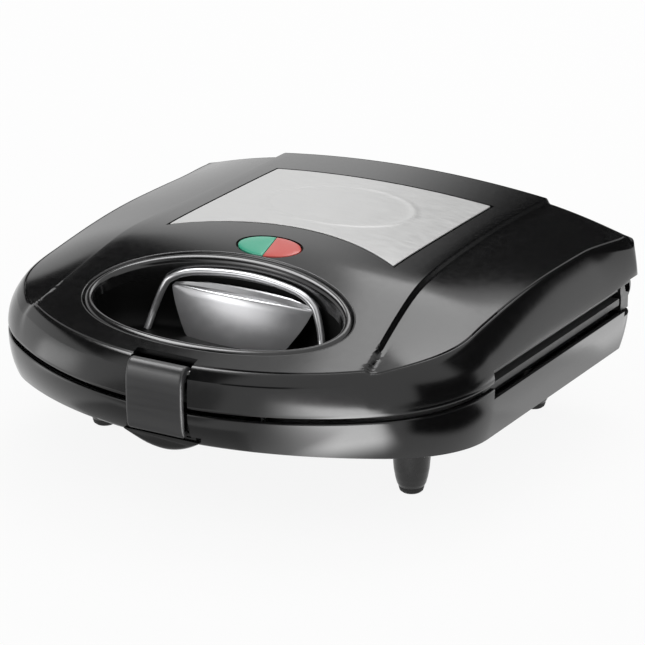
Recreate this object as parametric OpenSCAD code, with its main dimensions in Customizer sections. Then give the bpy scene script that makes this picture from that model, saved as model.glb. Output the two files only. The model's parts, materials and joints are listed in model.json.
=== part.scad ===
// Sandwich toaster: a clam-shell body on four feet. The lid carries the upper
// cooking plate, the lamps, the finger well with its grip and the front latch.
// Origin: on the table, half way across, +X to the right, +Y to the hinge, +Z up.

/* [Body] */
// Width of the body over its sides
body_w = 240; // [236:1:244]
// Distance from the middle of the body to its front edge
front_y = -114.5; // [-116:0.5:-114]
// Distance from the middle of the body to its rear edge
rear_y = 113.5; // [113:0.5:115]
// Radius of the bowed front edge seen from above
front_r = 159; // [150:1:175]
// Radius of the front corners seen from above
corner_r = 64.5; // [60:0.5:68]
// Radius of the lid's rear corners seen from above
rear_r = 5; // [4:1:12]
// Radius of the base's rear corners seen from above
base_rear_r = 16; // [12:1:18]
// Wall thickness of the two housings
wall = 2.6; // [2.2:0.1:3]

/* [Lid] */
// Height of the lid along its middle line, at the rear
lid_top = 97.5; // [96:0.5:100]
// Drop of the raised middle panel from its centre line to its edge
crown = 4.4; // [4:0.1:5.2]
// Height of the step along the edge of the raised middle panel
step_h = 2.7; // [2:0.1:3.2]
// Height of the lid's rim at the front
rim_front = 70.4; // [69.5:0.1:71.5]
// Rise of the lid's rim from the front to the middle of the sides
rim_rise = 13.2; // [12:0.1:14]
// Length of the badge plate's slot along Y
badge_d = 94; // [90:1:96]
// Half width of the badge plate at its front
badge_w = 58; // [54:1:60]

/* [Finger well] */
// Half length of the oval finger well across the lid
well_a = 64; // [60:0.5:65]
// Half depth of the oval finger well, front to back
well_b = 32; // [30:0.5:33]
// Distance from the middle of the body to the middle of the well
well_y = -65; // [-66:0.5:-64]

/* [Cooking plates] */
// Half width of the cooking plates
plate_hw = 111; // [109:0.5:111]
// Front edge of the cooking plates
plate_y0 = -30; // [-30:0.5:-28]
// Rear edge of the cooking plates
plate_y1 = 98; // [96:0.5:98]
// Thickness of each cast plate
plate_t = 10.5; // [10.5:0.5:11.5]
// Depth of the sandwich pockets
pocket_d = 8; // [6:0.5:8]

/* [Latch and hinge] */
// Width of the latch
latch_w = 28.3; // [26:0.1:29]
// Height of the hinge axis
hinge_z = 58; // [58:0.1:58.4]
// Distance from the middle of the body to the hinge axis
hinge_y = 106; // [105.8:0.1:106.2]
// Radius of the hinge pins
pin_r = 2.5; // [2.3:0.1:2.8]

/* [Feet] */
// Height of the belly above the table
belly_z = 22; // [21:0.5:23]
// Distance of the feet from the middle, to each side
foot_x = 80.5; // [76:0.5:84]

/* [Hidden] */
half_w = body_w / 2;
part_gap = 2.4;              // gap between the housings at the parting line
part_front = 51.2;           // height of the parting line at the front
part_side = 57;              // height of the parting line along the sides
part_run = 95;               // length over which it rises
slot_y0 = -32.6;             // side slots, front end
slot_y1 = 101;               // side slots, rear end
slot_z0 = 50;                // side slots, lower edge
slot_z1 = 63;                // side slots, upper edge
rear_lid_z = 64;             // lower edge of the lid's rear wall
rear_base_z = 47.5;          // upper edge of the base's rear wall
column_n = 11;               // columns across the lid's top, between its rims
fit = 0.3;                   // room between neighbouring pieces
plates_gap = 0.4;            // half the gap between the closed plates
plate_up = part_side + plates_gap;
plate_low = part_side - plates_gap;
back_up = plate_up + plate_t;      // back of the upper cooking plate
back_low = plate_low - plate_t;    // back of the lower cooking plate
frame_t = 3;
lid_frame_z = 58.5;
base_frame_z = 52;
plate_my = (plate_y0 + plate_y1) / 2;
shield_hw = 97;
shield_h = 8;
tube_r = 3.2;                // radius of the tubular heating elements
latch_y = -109.8;            // latch pivot
latch_z = 67.2;
latch_pin_r = 1.25;
knuckle_r = 6;               // radius of the hinge knuckles
knuckle_x = 97;              // middle of each hinge, to each side
knuckle_w = 9;
ear_w = 3.6;
ledge_z = 33;                // ledge inside the base, under the hinges
foot_y = [-34, 84];
gland_x = 62;
gland_z = 38.6;
gland_r = 3.6;               // bore of the cord gland
post_x = 104.5;              // posts that carry the cooking plates
post_y = [-22.5, 90.5];
frame_post = [[100, -53], [45, -100]];

// ---------- outline of the body, seen from above ----------
corner_x = half_w - corner_r;
blend = front_r - corner_r;
split = asin(corner_x / blend);
corner_y = front_y + front_r - blend * cos(split);
front_n = 9;
corner_n = 9;
rear_n = 5;
side_ys = [-11, 14, 39, 64, 86];

// right half from the front middle to the rear corner, as [x, y, normal x, normal y]
half_outline = concat(
    [for (i = [0:front_n]) let (a = split * i / front_n)
        [front_r * sin(a), front_y + front_r - front_r * cos(a), sin(a), -cos(a)]],
    [for (i = [1:corner_n]) let (a = split + (90 - split) * i / corner_n)
        [corner_x + corner_r * sin(a), corner_y - corner_r * cos(a), sin(a), -cos(a)]],
    [for (y = side_ys) [half_w, y, 1, 0]],
    [for (i = [0:rear_n]) let (a = 90 + 90 * i / rear_n)
        [half_w - rear_r + rear_r * sin(a), rear_y - rear_r - rear_r * cos(a), sin(a), -cos(a)]]);
half_last = len(half_outline) - 1;
loop_n = 2 * half_last + 1 + column_n;

// share of the half width at column j, from 1 on the right to -1 on the left
function column_share(j) = 1 - 2 * j / (column_n + 1);
// the closed loop: front middle, right side, rear edge, left side
outline = concat(half_outline,
    [for (j = [1:column_n]) [half_outline[half_last][0] * column_share(j), rear_y, 0, 1]],
    [for (i = [0:half_last - 1]) let (p = half_outline[half_last - i]) [-p[0], p[1], -p[2], p[3]]]);

function back(p) = p[1] - front_y;                     // distance behind the front edge
function clamp01(v) = min(1, max(0, v));
function ease(v) = let (u = clamp01(v)) u * u * (3 - 2 * u);
function mix(a, b, u) = a + (b - a) * u;
function side(p) = ease(back(p) / 90);                 // 0 at the front, 1 along the sides
function is_rear(p) = p[3] > 0;
// the outline moved in by ins; its rear corners get radius r less the inset, but never under 1
function offset_ring(ins, zs, r = rear_r) = let (
    dx = ins[half_last - rear_n], dy = ins[half_last + 1],
    rx = max(r - dx, 1), ry = max(r - dy, 1),
    cx = half_w - dx - rx, cy = rear_y - dy - ry,
    kx = cx / (half_w - rear_r), ky = (cy - corner_y) / (rear_y - rear_r - corner_y))
    [for (i = [0:loop_n - 1]) let (p = outline[i])
        i > half_last && i <= half_last + column_n ? [p[0] * kx, rear_y - dy, zs[i]]
        : is_rear(p) ? [sign(p[0]) * (cx + rx * abs(p[2])), cy + ry * p[3], zs[i]]
        : abs(p[2]) == 1 ? [p[0] - p[2] * ins[i], corner_y + (p[1] - corner_y) * ky, zs[i]]
        : [p[0] - p[2] * ins[i], p[1] - p[3] * ins[i], zs[i]]];
function same(v) = [for (i = [0:loop_n - 1]) v];
function ring(inset, z) = offset_ring(same(inset), same(z));
function parting(t) = mix(part_front, part_side, clamp01(t / part_run));

// ---------- height of the lid's top ----------
function soft_min(a, b, k) = (a + b - sqrt((a - b) * (a - b) + k * k)) / 2;
function middle_z(t) = soft_min(69.3 + 0.305 * t,
    lid_top - 0.7 * pow(max(0, t - 165) / 63, 2), 4.2);
function panel_z(x, t) = middle_z(t) - crown * pow(x / 72, 2);
function panel_x(t) = 69.4 + 15.6 * pow((190 - t) / 167, 2);
function rim_z(t) = rim_front + rim_rise * (1 - cos(180 * min(t, 155) / 155)) / 2
    - 1.6 * pow(max(0, t - 155) / 65, 2);
rim_x = 109;
step_w = 3;
function shoulder_z(x, t) = let (low = panel_z(panel_x(t), t) - step_h,
    u = max(0, (x - panel_x(t) - step_w) / (rim_x - panel_x(t) - step_w)))
    mix(low, rim_z(t), min(u * (0.7 + 0.3 * u), u));
function top_z(x, y) = let (ax = abs(x), t = y - front_y, e = panel_x(t))
    ax <= e ? panel_z(ax, t)
    : ax >= e + step_w ? shoulder_z(ax, t)
    : mix(panel_z(e, t), shoulder_z(e + step_w, t), (ax - e) / step_w);

// ---------- volumes ----------
function fall(p) = ease((back(p) - 190) / 38);         // the crest nears the side at the rear
function edge_value(front, along, behind, drop) = [for (p = outline)
    is_rear(p) ? mix(along - drop, behind, p[3] * p[3]) : mix(front, along, side(p)) - drop * fall(p)];
rim_inset = edge_value(5, 11, 1.5, 4);
wall_inset = edge_value(0.6, 9, 0.5, 6.5);
bevel_h = edge_value(5, 1.7, 1.5, -3);

function wall_bottom(p) = parting(back(p)) + part_gap / 2;
// rings of the lid's outer face shrunk by s, from the lower edge to the rim
function lid_rings(s, bottom) = let (
    edge = offset_ring([for (d = rim_inset) d + s], same(0)),
    rim = [for (p = edge) top_z(p[0], p[1])],
    z0 = [for (p = outline) bottom < 0 ? wall_bottom(p) : bottom])
    concat([offset_ring(same(s), z0)],
        [for (v = [0.35, 0.7, 1]) offset_ring(
            [for (i = [0:loop_n - 1]) s + wall_inset[i] * v * v],
            [for (i = [0:loop_n - 1]) mix(wall_bottom(outline[i]), rim[i] - bevel_h[i] - s, v)])],
        [offset_ring([for (i = [0:loop_n - 1]) rim_inset[i] + s], [for (z = rim) z - s])]);

// faces between two neighbouring rings that start at point a and point b
function band(a, b) = [for (i = [0:loop_n - 1]) let (n = (i + 1) % loop_n)
    each [[a + i, b + i, b + n], [a + i, b + n, a + n]]];
// faces that close a ring whose left and right points are level in pairs
function strip_cap(a) = concat([[a, a + 1, a + loop_n - 1]],
    [for (i = [1:half_last - 2]) [a + i, a + i + 1, a + loop_n - i - 1, a + loop_n - i]],
    [concat([for (i = [half_last - 1:half_last + column_n + 1]) a + i], [a + loop_n - half_last + 1])]);
function flipped(faces) = [for (f = faces) [for (i = [len(f) - 1:-1:0]) f[i]]];

// the lid's volume, shrunk by s; its lower end follows the parting line, or is flat
module lid_volume(s = 0, bottom = -1) {
    rings = lid_rings(s, bottom);
    last = len(rings) - 1;
    rim = rings[last];
    first = loop_n * len(rings);
    // column positions: the raised panel's two edges are columns of their own
    grid = [for (i = [1:half_last - 1]) let (r = rim[i], t = r[1] - front_y,
            e = min(panel_x(t), 0.8 * r[0]), f = min(panel_x(t) + step_w, 0.88 * r[0]),
            xs = [(r[0] + f) / 2, f, e, 0.68 * e, 0.34 * e, 0])
        for (j = [1:column_n]) let (x = j <= 6 ? xs[j - 1] : -xs[column_n - j])
            [x, r[1], top_z(x, r[1]) - s]];
    function at(i, j) = j == 0 ? last * loop_n + i
        : j == column_n + 1 ? last * loop_n + loop_n - i
        : i == half_last ? last * loop_n + half_last + j
        : first + (i - 1) * column_n + j - 1;
    faces = concat(
        strip_cap(0),
        [for (k = [0:last - 1]) each band(k * loop_n, (k + 1) * loop_n)],
        [for (j = [0:column_n]) [last * loop_n, at(1, j + 1), at(1, j)]],
        [for (i = [1:half_last - 1]) for (j = [0:column_n]) each [
            [at(i, j), at(i, j + 1), at(i + 1, j + 1)], [at(i, j), at(i + 1, j + 1), at(i + 1, j)]]]);
    polyhedron(concat([for (r = rings) each r], grid), faces, convexity = 6);
}

belly_front = [for (p = outline) mix(34, 30, ease(back(p) / 85))];
edge_inset = [for (p = outline) mix(5.8, 3.4, side(p))];
// the base's volume, shrunk by s; its upper end follows the parting line, or is flat
module base_volume(s = 0, top = -1) {
    z_top = [for (p = outline) top < 0 ? parting(back(p)) - part_gap / 2 : top];
    r = base_rear_r;
    rings = [
        offset_ring(same(s), z_top, r),
        offset_ring([for (v = edge_inset) s + 0.25 * v], [for (v = belly_front) v + 9 + s * 0.5], r),
        offset_ring([for (v = edge_inset) s + 0.75 * v], [for (v = belly_front) v + 2.6 + s * 0.6], r),
        offset_ring([for (v = edge_inset) s + v + 2], [for (v = belly_front) v + s], r),
        offset_ring(same(s * 0.5 + 16), [for (v = belly_front) v + s - 3.2], r),
        offset_ring([for (p = outline) s * 0.5 + mix(38, 22, ease((back(p) - 30) / 70))],
            same(belly_z + s), r)];
    last = len(rings) - 1;
    faces = concat(flipped(strip_cap(0)),
        [for (k = [0:last - 1]) each flipped(band(k * loop_n, (k + 1) * loop_n))],
        strip_cap(last * loop_n));
    polyhedron([for (r = rings) each r], faces, convexity = 6);
}

// flat sheet of the body's outline
module outline_sheet(inset, z, h) {
    translate([0, 0, z]) linear_extrude(h)
        polygon([for (p = outline) [p[0] - p[2] * inset, p[1] - p[3] * inset]]);
}
module box(a, b) { translate(a) cube([b[0] - a[0], b[1] - a[1], b[2] - a[2]]); }
// round bar along X
module bar_x(y, z, r, x0, x1) {
    translate([x0, y, z]) rotate([0, 90, 0]) cylinder(r = r, h = x1 - x0, $fn = 48);
}
// round bar along Y
module bar_y(x, z, r, y0, y1) {
    translate([x, y0, z]) rotate([-90, 0, 0]) cylinder(r = r, h = y1 - y0, $fn = 24);
}
module four(x, ys) { for (sx = [-1, 1]) for (y = ys) translate([sx * x, y, 0]) children(); }
module both() { children(); mirror([1, 0, 0]) children(); }
// keeps a housing in one piece of mesh
module moulding() { resize([0, 0, 0]) children(); }

// ---------- base ----------
module slot_cut(z0, z1) {
    both() box([plate_hw + 3, slot_y0, z0], [half_w + 5, slot_y1, z1]);
}

module base_shell() {
    color([0.05, 0.05, 0.055]) moulding() difference() {
        union() {
            difference() { base_volume(); base_volume(wall, 70); }
            intersection() {
                base_volume();
                union() {
                    four(post_x, post_y) cylinder(r = 4.5, h = back_low, $fn = 32);
                    frame_posts(0, 45, 4);
                    // thick wall behind the latch
                    box([-17.7, front_y - 2, 20], [17.7, -107, 50]);
                    // ledge that carries the hinge blocks and the spine
                    box([-107, hinge_y - 4.6, 20], [107, hinge_y + 3, ledge_z + 0.5]);
                }
            }
            frame_posts(44, base_frame_z, 4);
            chin();
        }
        frame_posts(45, 60, 1.6);
        slot_cut(slot_z0, 70);
        // seats for the hinge blocks and the spine
        box([-87.2, hinge_y - 4.8, ledge_z], [87.2, hinge_y + 2.2, 60]);
        both() for (x = [ear_in, ear_out])
            box([x - 0.2, hinge_y - 4.8, ledge_z], [x + ear_w + 0.2, hinge_y + 1, 60]);
        box([-half_w, plate_y1 - 1.5, rear_base_z], [half_w, rear_y + 5, 70]);
        // recess for the latch and pocket for its hook
        box([-latch_w / 2 - 1.1, front_y - 5, 38.2], [latch_w / 2 + 1.1, -112.6, 70]);
        box([-latch_w / 2 - 1.1, front_y - 5, 38.2], [latch_w / 2 + 1.1, -110.1, 42]);
        four(post_x, post_y) {
            translate([0, 0, 10]) cylinder(r = 3, h = 22, $fn = 24);
            translate([0, 0, 10]) cylinder(r = 1.6, h = 60, $fn = 24);
        }
        four(foot_x, foot_y) translate([0, 0, 10]) cylinder(r = 2.2, h = 30, $fn = 24);
        translate([gland_x, rear_y + 2, gland_z]) rotate([90, 0, 0]) cylinder(r = 7, h = 9, $fn = 40);
        for (i = [-4:4]) box([i * 9 - 2, 25, 10], [i * 9 + 2, 65, 30]);
    }
}

// round posts, or their holes, from height a to height b at the four screws of a frame
module frame_posts(a, b, r) {
    for (p = frame_post) for (sx = [-1, 1]) translate([sx * p[0], p[1], a])
        cylinder(r = r, h = b - a, $fn = 32);
}

// rounded lobe under the latch
module chin() {
    sag = 6;
    half = 17;
    r = (half * half + sag * sag) / (2 * sag);
    intersection() {
        translate([0, -95.5, 29 + r]) rotate([90, 0, 0]) cylinder(r = r, h = 14.5, $fn = 96);
        box([-half, -110, 27], [half, -94, 36.5]);
    }
}

module frame_sheet(inset, z) {
    difference() {
        outline_sheet(inset, z, frame_t);
        box([-plate_hw - fit, plate_y0 - fit, z - 1], [plate_hw + fit, rear_y + 1, z + frame_t + 1]);
        box([-half_w, plate_y1 + fit, z - 1], [half_w, rear_y + 1, z + frame_t + 1]);
    }
}

module base_frame() {
    color([0.09, 0.09, 0.09]) difference() {
        frame_sheet(4, base_frame_z);
        box([-17, front_y, 40], [17, -106.6, 70]);
        frame_posts(40, 70, 1.6);
    }
}

// one triangular well of a sandwich pocket, open at z = 0 and going up
module triangle_well(a, b, c) {
    m = (a + b + c) / 3;
    hull() {
        linear_extrude(0.01) translate([0, 0]) polygon([a, b, c]);
        translate([0, 0, -1]) linear_extrude(0.01) polygon([a, b, c]);
        translate([0, 0, pocket_d]) linear_extrude(0.01)
            polygon([for (p = [a, b, c]) m + (p - m) * 0.72]);
    }
}

// cast plate with two pockets, each crossed by a ridge; its cooking face is at z = 0
module cooking_plate() {
    pocket_w = 98;
    pocket_h = 108;
    ridge = 5;
    difference() {
        box([-plate_hw, plate_y0, 0], [plate_hw, plate_y1, plate_t]);
        for (sx = [-1, 1]) translate([sx * 54, plate_my, 0]) {
            x = pocket_w / 2;
            y = pocket_h / 2;
            triangle_well([-x, -y + ridge], [-x, y], [x - ridge, y]);
            triangle_well([-x + ridge, -y], [x, y - ridge], [x, -y]);
        }
        for (sx = [-1, 1]) for (y = post_y) translate([sx * post_x, y, plate_t - 6])
            cylinder(r = 1.6, h = 10, $fn = 24);
    }
}

module lower_cooking_plate() {
    color([0.13, 0.13, 0.135]) translate([0, 0, plate_low]) mirror([0, 0, 1]) cooking_plate();
}

// tubular element: two straight runs and a bend, with its ends turned to the rear
module heater(z) {
    run = 58;
    y0 = 2;
    y1 = 64;
    bend = (y1 - y0) / 2;
    for (y = [y0, y1]) bar_x(y, z, tube_r, -run, run);
    translate([run, (y0 + y1) / 2, z]) rotate([0, 0, -90])
        rotate_extrude(angle = 180, $fn = 64) translate([bend, 0]) circle(r = tube_r, $fn = 32);
    for (y = [y0, y1]) bar_x(y, z, 1.2, -run - 12, -run);
}
module lower_heating_element() { color([0.45, 0.43, 0.41]) heater(back_low - tube_r); }
module upper_heating_element() { color([0.45, 0.43, 0.41]) heater(back_up + tube_r); }

// sheet-metal pan over the back of a plate; its rim is at z = 0
module pan(y0, y1) {
    t = 0.6;
    difference() {
        box([-shield_hw, y0, 0], [shield_hw, y1, shield_h]);
        box([-shield_hw + t, y0 + t, -1], [shield_hw - t, y1 - t, shield_h - t]);
        for (y = [2, 64]) translate([-shield_hw - 1, y - 3, 1]) cube([4, 6, 4]);
    }
}
module lower_heat_shield() {
    color([0.7, 0.7, 0.71]) translate([0, 0, back_low]) mirror([0, 0, 1]) pan(-25, 94);
}
module upper_heat_shield() { color([0.7, 0.7, 0.71]) translate([0, 0, back_up]) pan(-25, 94); }

// pan-head screw standing on its tip, head below
module screw(r, shank, head_r, head_h) {
    cylinder(r = head_r, h = head_h, $fn = 32);
    translate([0, 0, head_h - 0.01]) cylinder(r = r, h = shank + 0.01, $fn = 24);
}
module lower_plate_screws() {
    color([0.6, 0.6, 0.6]) four(post_x, post_y) translate([0, 0, 30]) screw(1.5, 19, 2.8, 2);
}
module upper_plate_screws() {
    color([0.6, 0.6, 0.6]) four(post_x, post_y) translate([0, 0, back_up - 5.5])
        cylinder(r = 1.5, h = 9, $fn = 24);
}
module base_screws() {
    color([0.6, 0.6, 0.6]) for (p = frame_post) for (sx = [-1, 1])
        translate([sx * p[0], p[1], base_frame_z + frame_t + 1.4]) mirror([0, 0, 1])
            screw(1.5, frame_t + 5, 2.8, 1.4);
}

module foot(x, y) {
    color([0.04, 0.04, 0.04]) translate([x, y, 0]) difference() {
        rotate_extrude($fn = 64) polygon([[0, 3], [5.8, 3], [6.5, 4.4], [7.2, 7], [7.9, 11],
            [8.7, belly_z - 2], [9.1, belly_z], [0, belly_z]]);
        translate([0, 0, 6]) cylinder(r = 2.2, h = 30, $fn = 24);
    }
}
module front_left_foot() { foot(-foot_x, foot_y[0]); }
module front_right_foot() { foot(foot_x, foot_y[0]); }
module rear_left_foot() { foot(-foot_x, foot_y[1]); }
module rear_right_foot() { foot(foot_x, foot_y[1]); }
module foot_pads() {
    color([0.03, 0.03, 0.03]) four(foot_x, foot_y)
        rotate_extrude($fn = 64) polygon([[0, 0], [4.2, 0], [5.2, 0.8], [5.6, 2], [5.8, 3], [0, 3]]);
}

// ---------- hinge ----------
ear_in = knuckle_x - knuckle_w / 2 - 0.3 - ear_w;      // inner face of the inner ear
ear_out = knuckle_x + knuckle_w / 2 + 0.3;             // inner face of the outer ear
module hinge_blocks() {
    color([0.06, 0.06, 0.06]) both() for (x = [ear_in, ear_out]) difference() {
        union() {
            bar_x(hinge_y, hinge_z, knuckle_r, x, x + ear_w);
            box([x, hinge_y - 4.6, ledge_z], [x + ear_w, hinge_y + 0.8, hinge_z]);
            // rounded cover that closes the corner beside the outer ear
            if (x == ear_out) {
                bar_x(hinge_y, hinge_z, 5.5, x + 1, 115.5);
                box([x + 1, hinge_y - 4.6, rear_base_z + 0.4], [115.5, hinge_y + 3, hinge_z - 2]);
            }
        }
        bar_x(hinge_y, hinge_z, pin_r, x - 1, x + ear_w);
    }
}
module hinge_pins() {
    color([0.72, 0.72, 0.72]) both() bar_x(hinge_y, hinge_z, pin_r, ear_in, ear_out + ear_w);
}
module hinge_bar() {
    bar_z = hinge_z + 6.4;
    x0 = knuckle_x - knuckle_w / 2;
    x1 = x0 + knuckle_w;
    color([0.08, 0.08, 0.08]) difference() {
        union() {
            box([-102, 99, bar_z], [102, hinge_y + 2.5, bar_z + 3]);
            both() {
                bar_x(hinge_y, hinge_z, knuckle_r, x0, x1);
                box([x0, hinge_y - 4, hinge_z], [x1, hinge_y + 2.8, bar_z + 1]);
            }
        }
        both() bar_x(hinge_y, hinge_z, pin_r + 0.05, knuckle_x - 20, knuckle_x + 20);
    }
}
// round cover between the hinges, with the channel for the leads
module rear_spine() {
    color([0.05, 0.05, 0.05]) difference() {
        union() {
            bar_x(hinge_y, hinge_z, knuckle_r, -87, 87);
            box([-87, hinge_y - 4.6, ledge_z], [87, hinge_y + 2, hinge_z]);
        }
        bar_x(hinge_y, hinge_z, 3, -88, 88);
        box([-84, hinge_y - 3, ledge_z - 1], [84, hinge_y + 0.4, hinge_z - 5]);
        box([-34, hinge_y - 10, ledge_z + 8], [-22, hinge_y, hinge_z]);
        box([gland_x - 8, hinge_y - 10, ledge_z - 1], [gland_x + 8, hinge_y + 10, 47]);
    }
}

// ---------- electrics ----------
module cord_gland() {
    color([0.05, 0.05, 0.05]) translate([gland_x, 0, gland_z]) rotate([-90, 0, 0]) difference() {
        union() {
            translate([0, 0, rear_y - 5]) cylinder(r = 6.4, h = 8.4, $fn = 48);
            translate([0, 0, rear_y]) cylinder(r = 7.6, h = 3.4, $fn = 48);
        }
        translate([0, 0, rear_y - 8]) cylinder(r = gland_r, h = 20, $fn = 48);
    }
}
module cord_clamp() {
    z0 = belly_z + wall;
    color([0.75, 0.74, 0.7]) {
        box([gland_x - 12, 80, z0], [gland_x + 12, 87, 28]);
        box([gland_x - 12, 80, 34], [gland_x + 12, 87, 37]);
        for (sx = [-1, 1]) box([gland_x + sx * 9.5 - 2.5, 80, 28], [gland_x + sx * 9.5 + 2.5, 87, 34]);
    }
}
module terminal_block() {
    z0 = belly_z + wall;
    color([0.85, 0.84, 0.8]) difference() {
        box([10, 72, z0], [40, 84, z0 + 11]);
        for (i = [0:2]) bar_y(16 + 9 * i, z0 + 6, 1.8, 60, 90);
    }
}
module thermostat() {
    color([0.8, 0.78, 0.72]) translate([-20, 14, 0]) {
        translate([0, 0, 28]) cylinder(r = 7, h = back_low - shield_h - 28, $fn = 40);
        for (sx = [-1, 1]) box([sx * 8 - 3, -3, 31], [sx * 8 + 3, 3, 32]);
    }
}
module thermal_fuse() {
    z = back_low - shield_h - 2.2;
    color([0.82, 0.8, 0.75]) {
        bar_x(14, z, 2.2, 12, 24);
        for (x = [4, 24]) bar_x(14, z, 0.6, x, x + 8);
    }
}
// wires from the terminals to the channel in the spine
module base_leads() {
    color([0.75, 0.72, 0.62]) for (i = [0:2]) {
        bar_y(16 + 9 * i, belly_z + wall + 6, 1.3, 80, 95);
        translate([16 + 9 * i, 95.5, belly_z + wall + 5.6]) cylinder(r = 1.3, h = 9, $fn = 24);
    }
}
// wires that lie on the bar of the hinges
module lid_leads() {
    color([0.75, 0.72, 0.62]) for (i = [0:2]) bar_x(100.6 + 3 * i, hinge_z + 10.6, 1.2, -74, 30);
}

// ---------- lid ----------
module lid_shell() {
    color([0.05, 0.05, 0.055]) moulding() difference() {
        union() {
            difference() { lid_volume(); lid_volume(wall, 40); }
            intersection() {
                lid_volume();
                union() {
                    translate([0, 0, back_up]) four(post_x, post_y) cylinder(r = 4.5, h = 40, $fn = 32);
                    frame_posts(lid_frame_z + frame_t, 100, 4);
                    // pocket walls behind and beside the latch
                    box([-17.7, front_y - 5, base_frame_z + frame_t + 0.6], [17.7, -101.6, 90]);
                    // blocks above the hinges, which hold the hinge bar
                    for (sx = [-1, 1]) box([sx * 97 - 5, 103, hinge_z + 9.4], [sx * 97 + 5, rear_y, 90]);
                }
            }
        }
        slot_cut(40, slot_z1);
        box([-half_w, slot_y1, 40], [half_w, rear_y + 5, rear_lid_z]);
        box([-latch_w / 2 - 1.1, front_y - 5, 40], [latch_w / 2 + 1.1, -104.6, 90]);
        bar_x(latch_y, latch_z, latch_pin_r + 0.05, -17.2, 17.2);
        translate([0, well_y, 40]) scale([1, well_b / well_a, 1]) cylinder(r = well_a, h = 80, $fn = 72);
        four(post_x, post_y) translate([0, 0, 60]) cylinder(r = 1.6, h = 12.6, $fn = 24);
        frame_posts(50, 68, 1.6);
        badge_volume(0.25, 0.75, 6);
        lens_sheet(0, -12, 8, 0.15);
    }
}

module lid_frame() {
    color([0.09, 0.09, 0.09]) difference() {
        union() {
            frame_sheet(4.8, lid_frame_z);
            // skirt seen through the side slots
            both() box([plate_hw + fit, slot_y0 + 3, lid_frame_z],
                [plate_hw + 2.4, plate_y1 + fit, lid_frame_z + 6]);
        }
        box([-18, front_y, 40], [18, -101.2, 90]);
        // hole for the finger well's floor
        translate([0, well_y, 50]) scale([1, (well_b - 2.6) / (well_a - 2.6), 1])
            cylinder(r = well_a - 2.6, h = 30, $fn = 72);
        frame_posts(40, 80, 1.6);
    }
}
module lid_screws() {
    color([0.6, 0.6, 0.6]) for (p = frame_post) for (sx = [-1, 1])
        translate([sx * p[0], p[1], lid_frame_z - 1.4]) screw(1.5, 8, 2.8, 1.4);
}

// oval ring of the finger well, s smaller than its rim: at height z, or d below the lid's top
well_n = 48;
function well_ring(s, z) = [for (i = [0:well_n - 1]) let (a = 360 * i / well_n)
    [(well_a - s) * cos(a), well_y + (well_b - s) * sin(a), z]];
function well_rim(s, d) = [for (p = well_ring(s, 0)) [p[0], p[1], top_z(p[0], p[1]) - d]];
// closed solid through level rings of points, counted anticlockwise from above
module stack(rings) {
    n = len(rings[0]);
    m = len(rings);
    polyhedron([for (r = rings) each r], concat(
        [[for (i = [0:n - 1]) i]],
        [for (k = [0:m - 2]) for (i = [0:n - 1]) let (j = (i + 1) % n)
            each [[k * n + i, (k + 1) * n + i, (k + 1) * n + j], [k * n + i, (k + 1) * n + j, k * n + j]]],
        [for (i = [1:n - 2]) [(m - 1) * n, (m - 1) * n + i + 1, (m - 1) * n + i]]), convexity = 6);
}
well_floor = 56.6;
module finger_well() {
    color([0.03, 0.03, 0.03]) moulding() difference() {
        stack([well_ring(5.2, well_floor), well_ring(3.2, well_floor + 3), well_ring(1.6, 70),
            well_rim(0.15, 1.6)]);
        stack([well_ring(7, well_floor + 2), well_ring(5, well_floor + 4.5), well_ring(3.6, 70),
            well_rim(2, -9)]);
    }
}

grip_hw = 36;
grip_y = -44;
grip_bow = 4.6;
grip_top = 80.2;
bail_r = 1.7;
// right half of the bail's middle line, from the well's floor to the middle
bail_half = [[44.6, -52.2, well_floor + 2.8], [43.1, -48, 67], [39.6, -45.6, 77.2], [36.1, -44.2, 81.7],
    [28, -41.8, 84.9], [14, -39.5, 86.5]];
bail_line = concat([for (p = bail_half) [-p[0], p[1], p[2]]], [[0, -38.7, 87]],
    [for (i = [len(bail_half) - 1:-1:0]) bail_half[i]]);
function unit(v) = v / norm(v);
module grip_bail() {
    last = len(bail_line) - 1;
    n = 12;
    stack([for (i = [0:last]) let (
        ahead = unit(bail_line[min(i + 1, last)] - bail_line[max(i - 1, 0)]),
        flank = unit(cross([0, 1, 0], ahead)), up = cross(ahead, flank))
        [for (k = [0:n - 1]) bail_line[i] + bail_r * (cos(30 * k) * flank + sin(30 * k) * up)]]);
}
// bowed panel with slanted ends; its top is dished
module grip_panel() {
    // plan: bowed front edge, half oval of the given depth behind it; moved back by s
    function plan(depth, k, s) = concat(
        [for (i = [0:12]) let (x = k * grip_hw * (-1 + i / 6))
            [x, grip_y - grip_bow * (1 - pow(x / grip_hw, 2)) + s]],
        [for (i = [1:11]) let (a = 15 * i) [k * grip_hw * cos(a), grip_y + min(s, 0)
            - grip_bow * (1 - k * k) + (depth + grip_bow * (1 - k * k)) * sin(a)]]);
    function lift(p) = grip_top - 1.6 * pow(p[0] / grip_hw, 2) + 0.1 * (p[1] - grip_y + grip_bow);
    stack([
        [for (p = plan(3, 0.92, -5.3)) concat(p, well_floor + 2)],
        [for (p = plan(3.9, 0.96, -4.6)) concat(p, 61.2)],
        [for (p = plan(5.2, 0.99, -3.1)) concat(p, 67.2)],
        [for (p = plan(6.6, 1, 0)) concat(p, lift(p) - 0.8)],
        [for (p = plan(6.3, 0.98, 0.4)) concat(p, lift(p))],
        [for (p = plan(5, 0.9, 0.9)) concat(p, lift(p) - 0.2)],
        [for (p = plan(3.2, 0.7, 2.4)) concat(p, lift(p) - 1.7)],
        [for (p = plan(1.2, 0.4, 4.2)) concat(p, grip_top - 1.4)]]);
}
module handle_grip() {
    color([0.62, 0.62, 0.63]) moulding() union() {
        grip_panel();
        grip_bail();
    }
}

badge_y = plate_my + 1.5;
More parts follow.
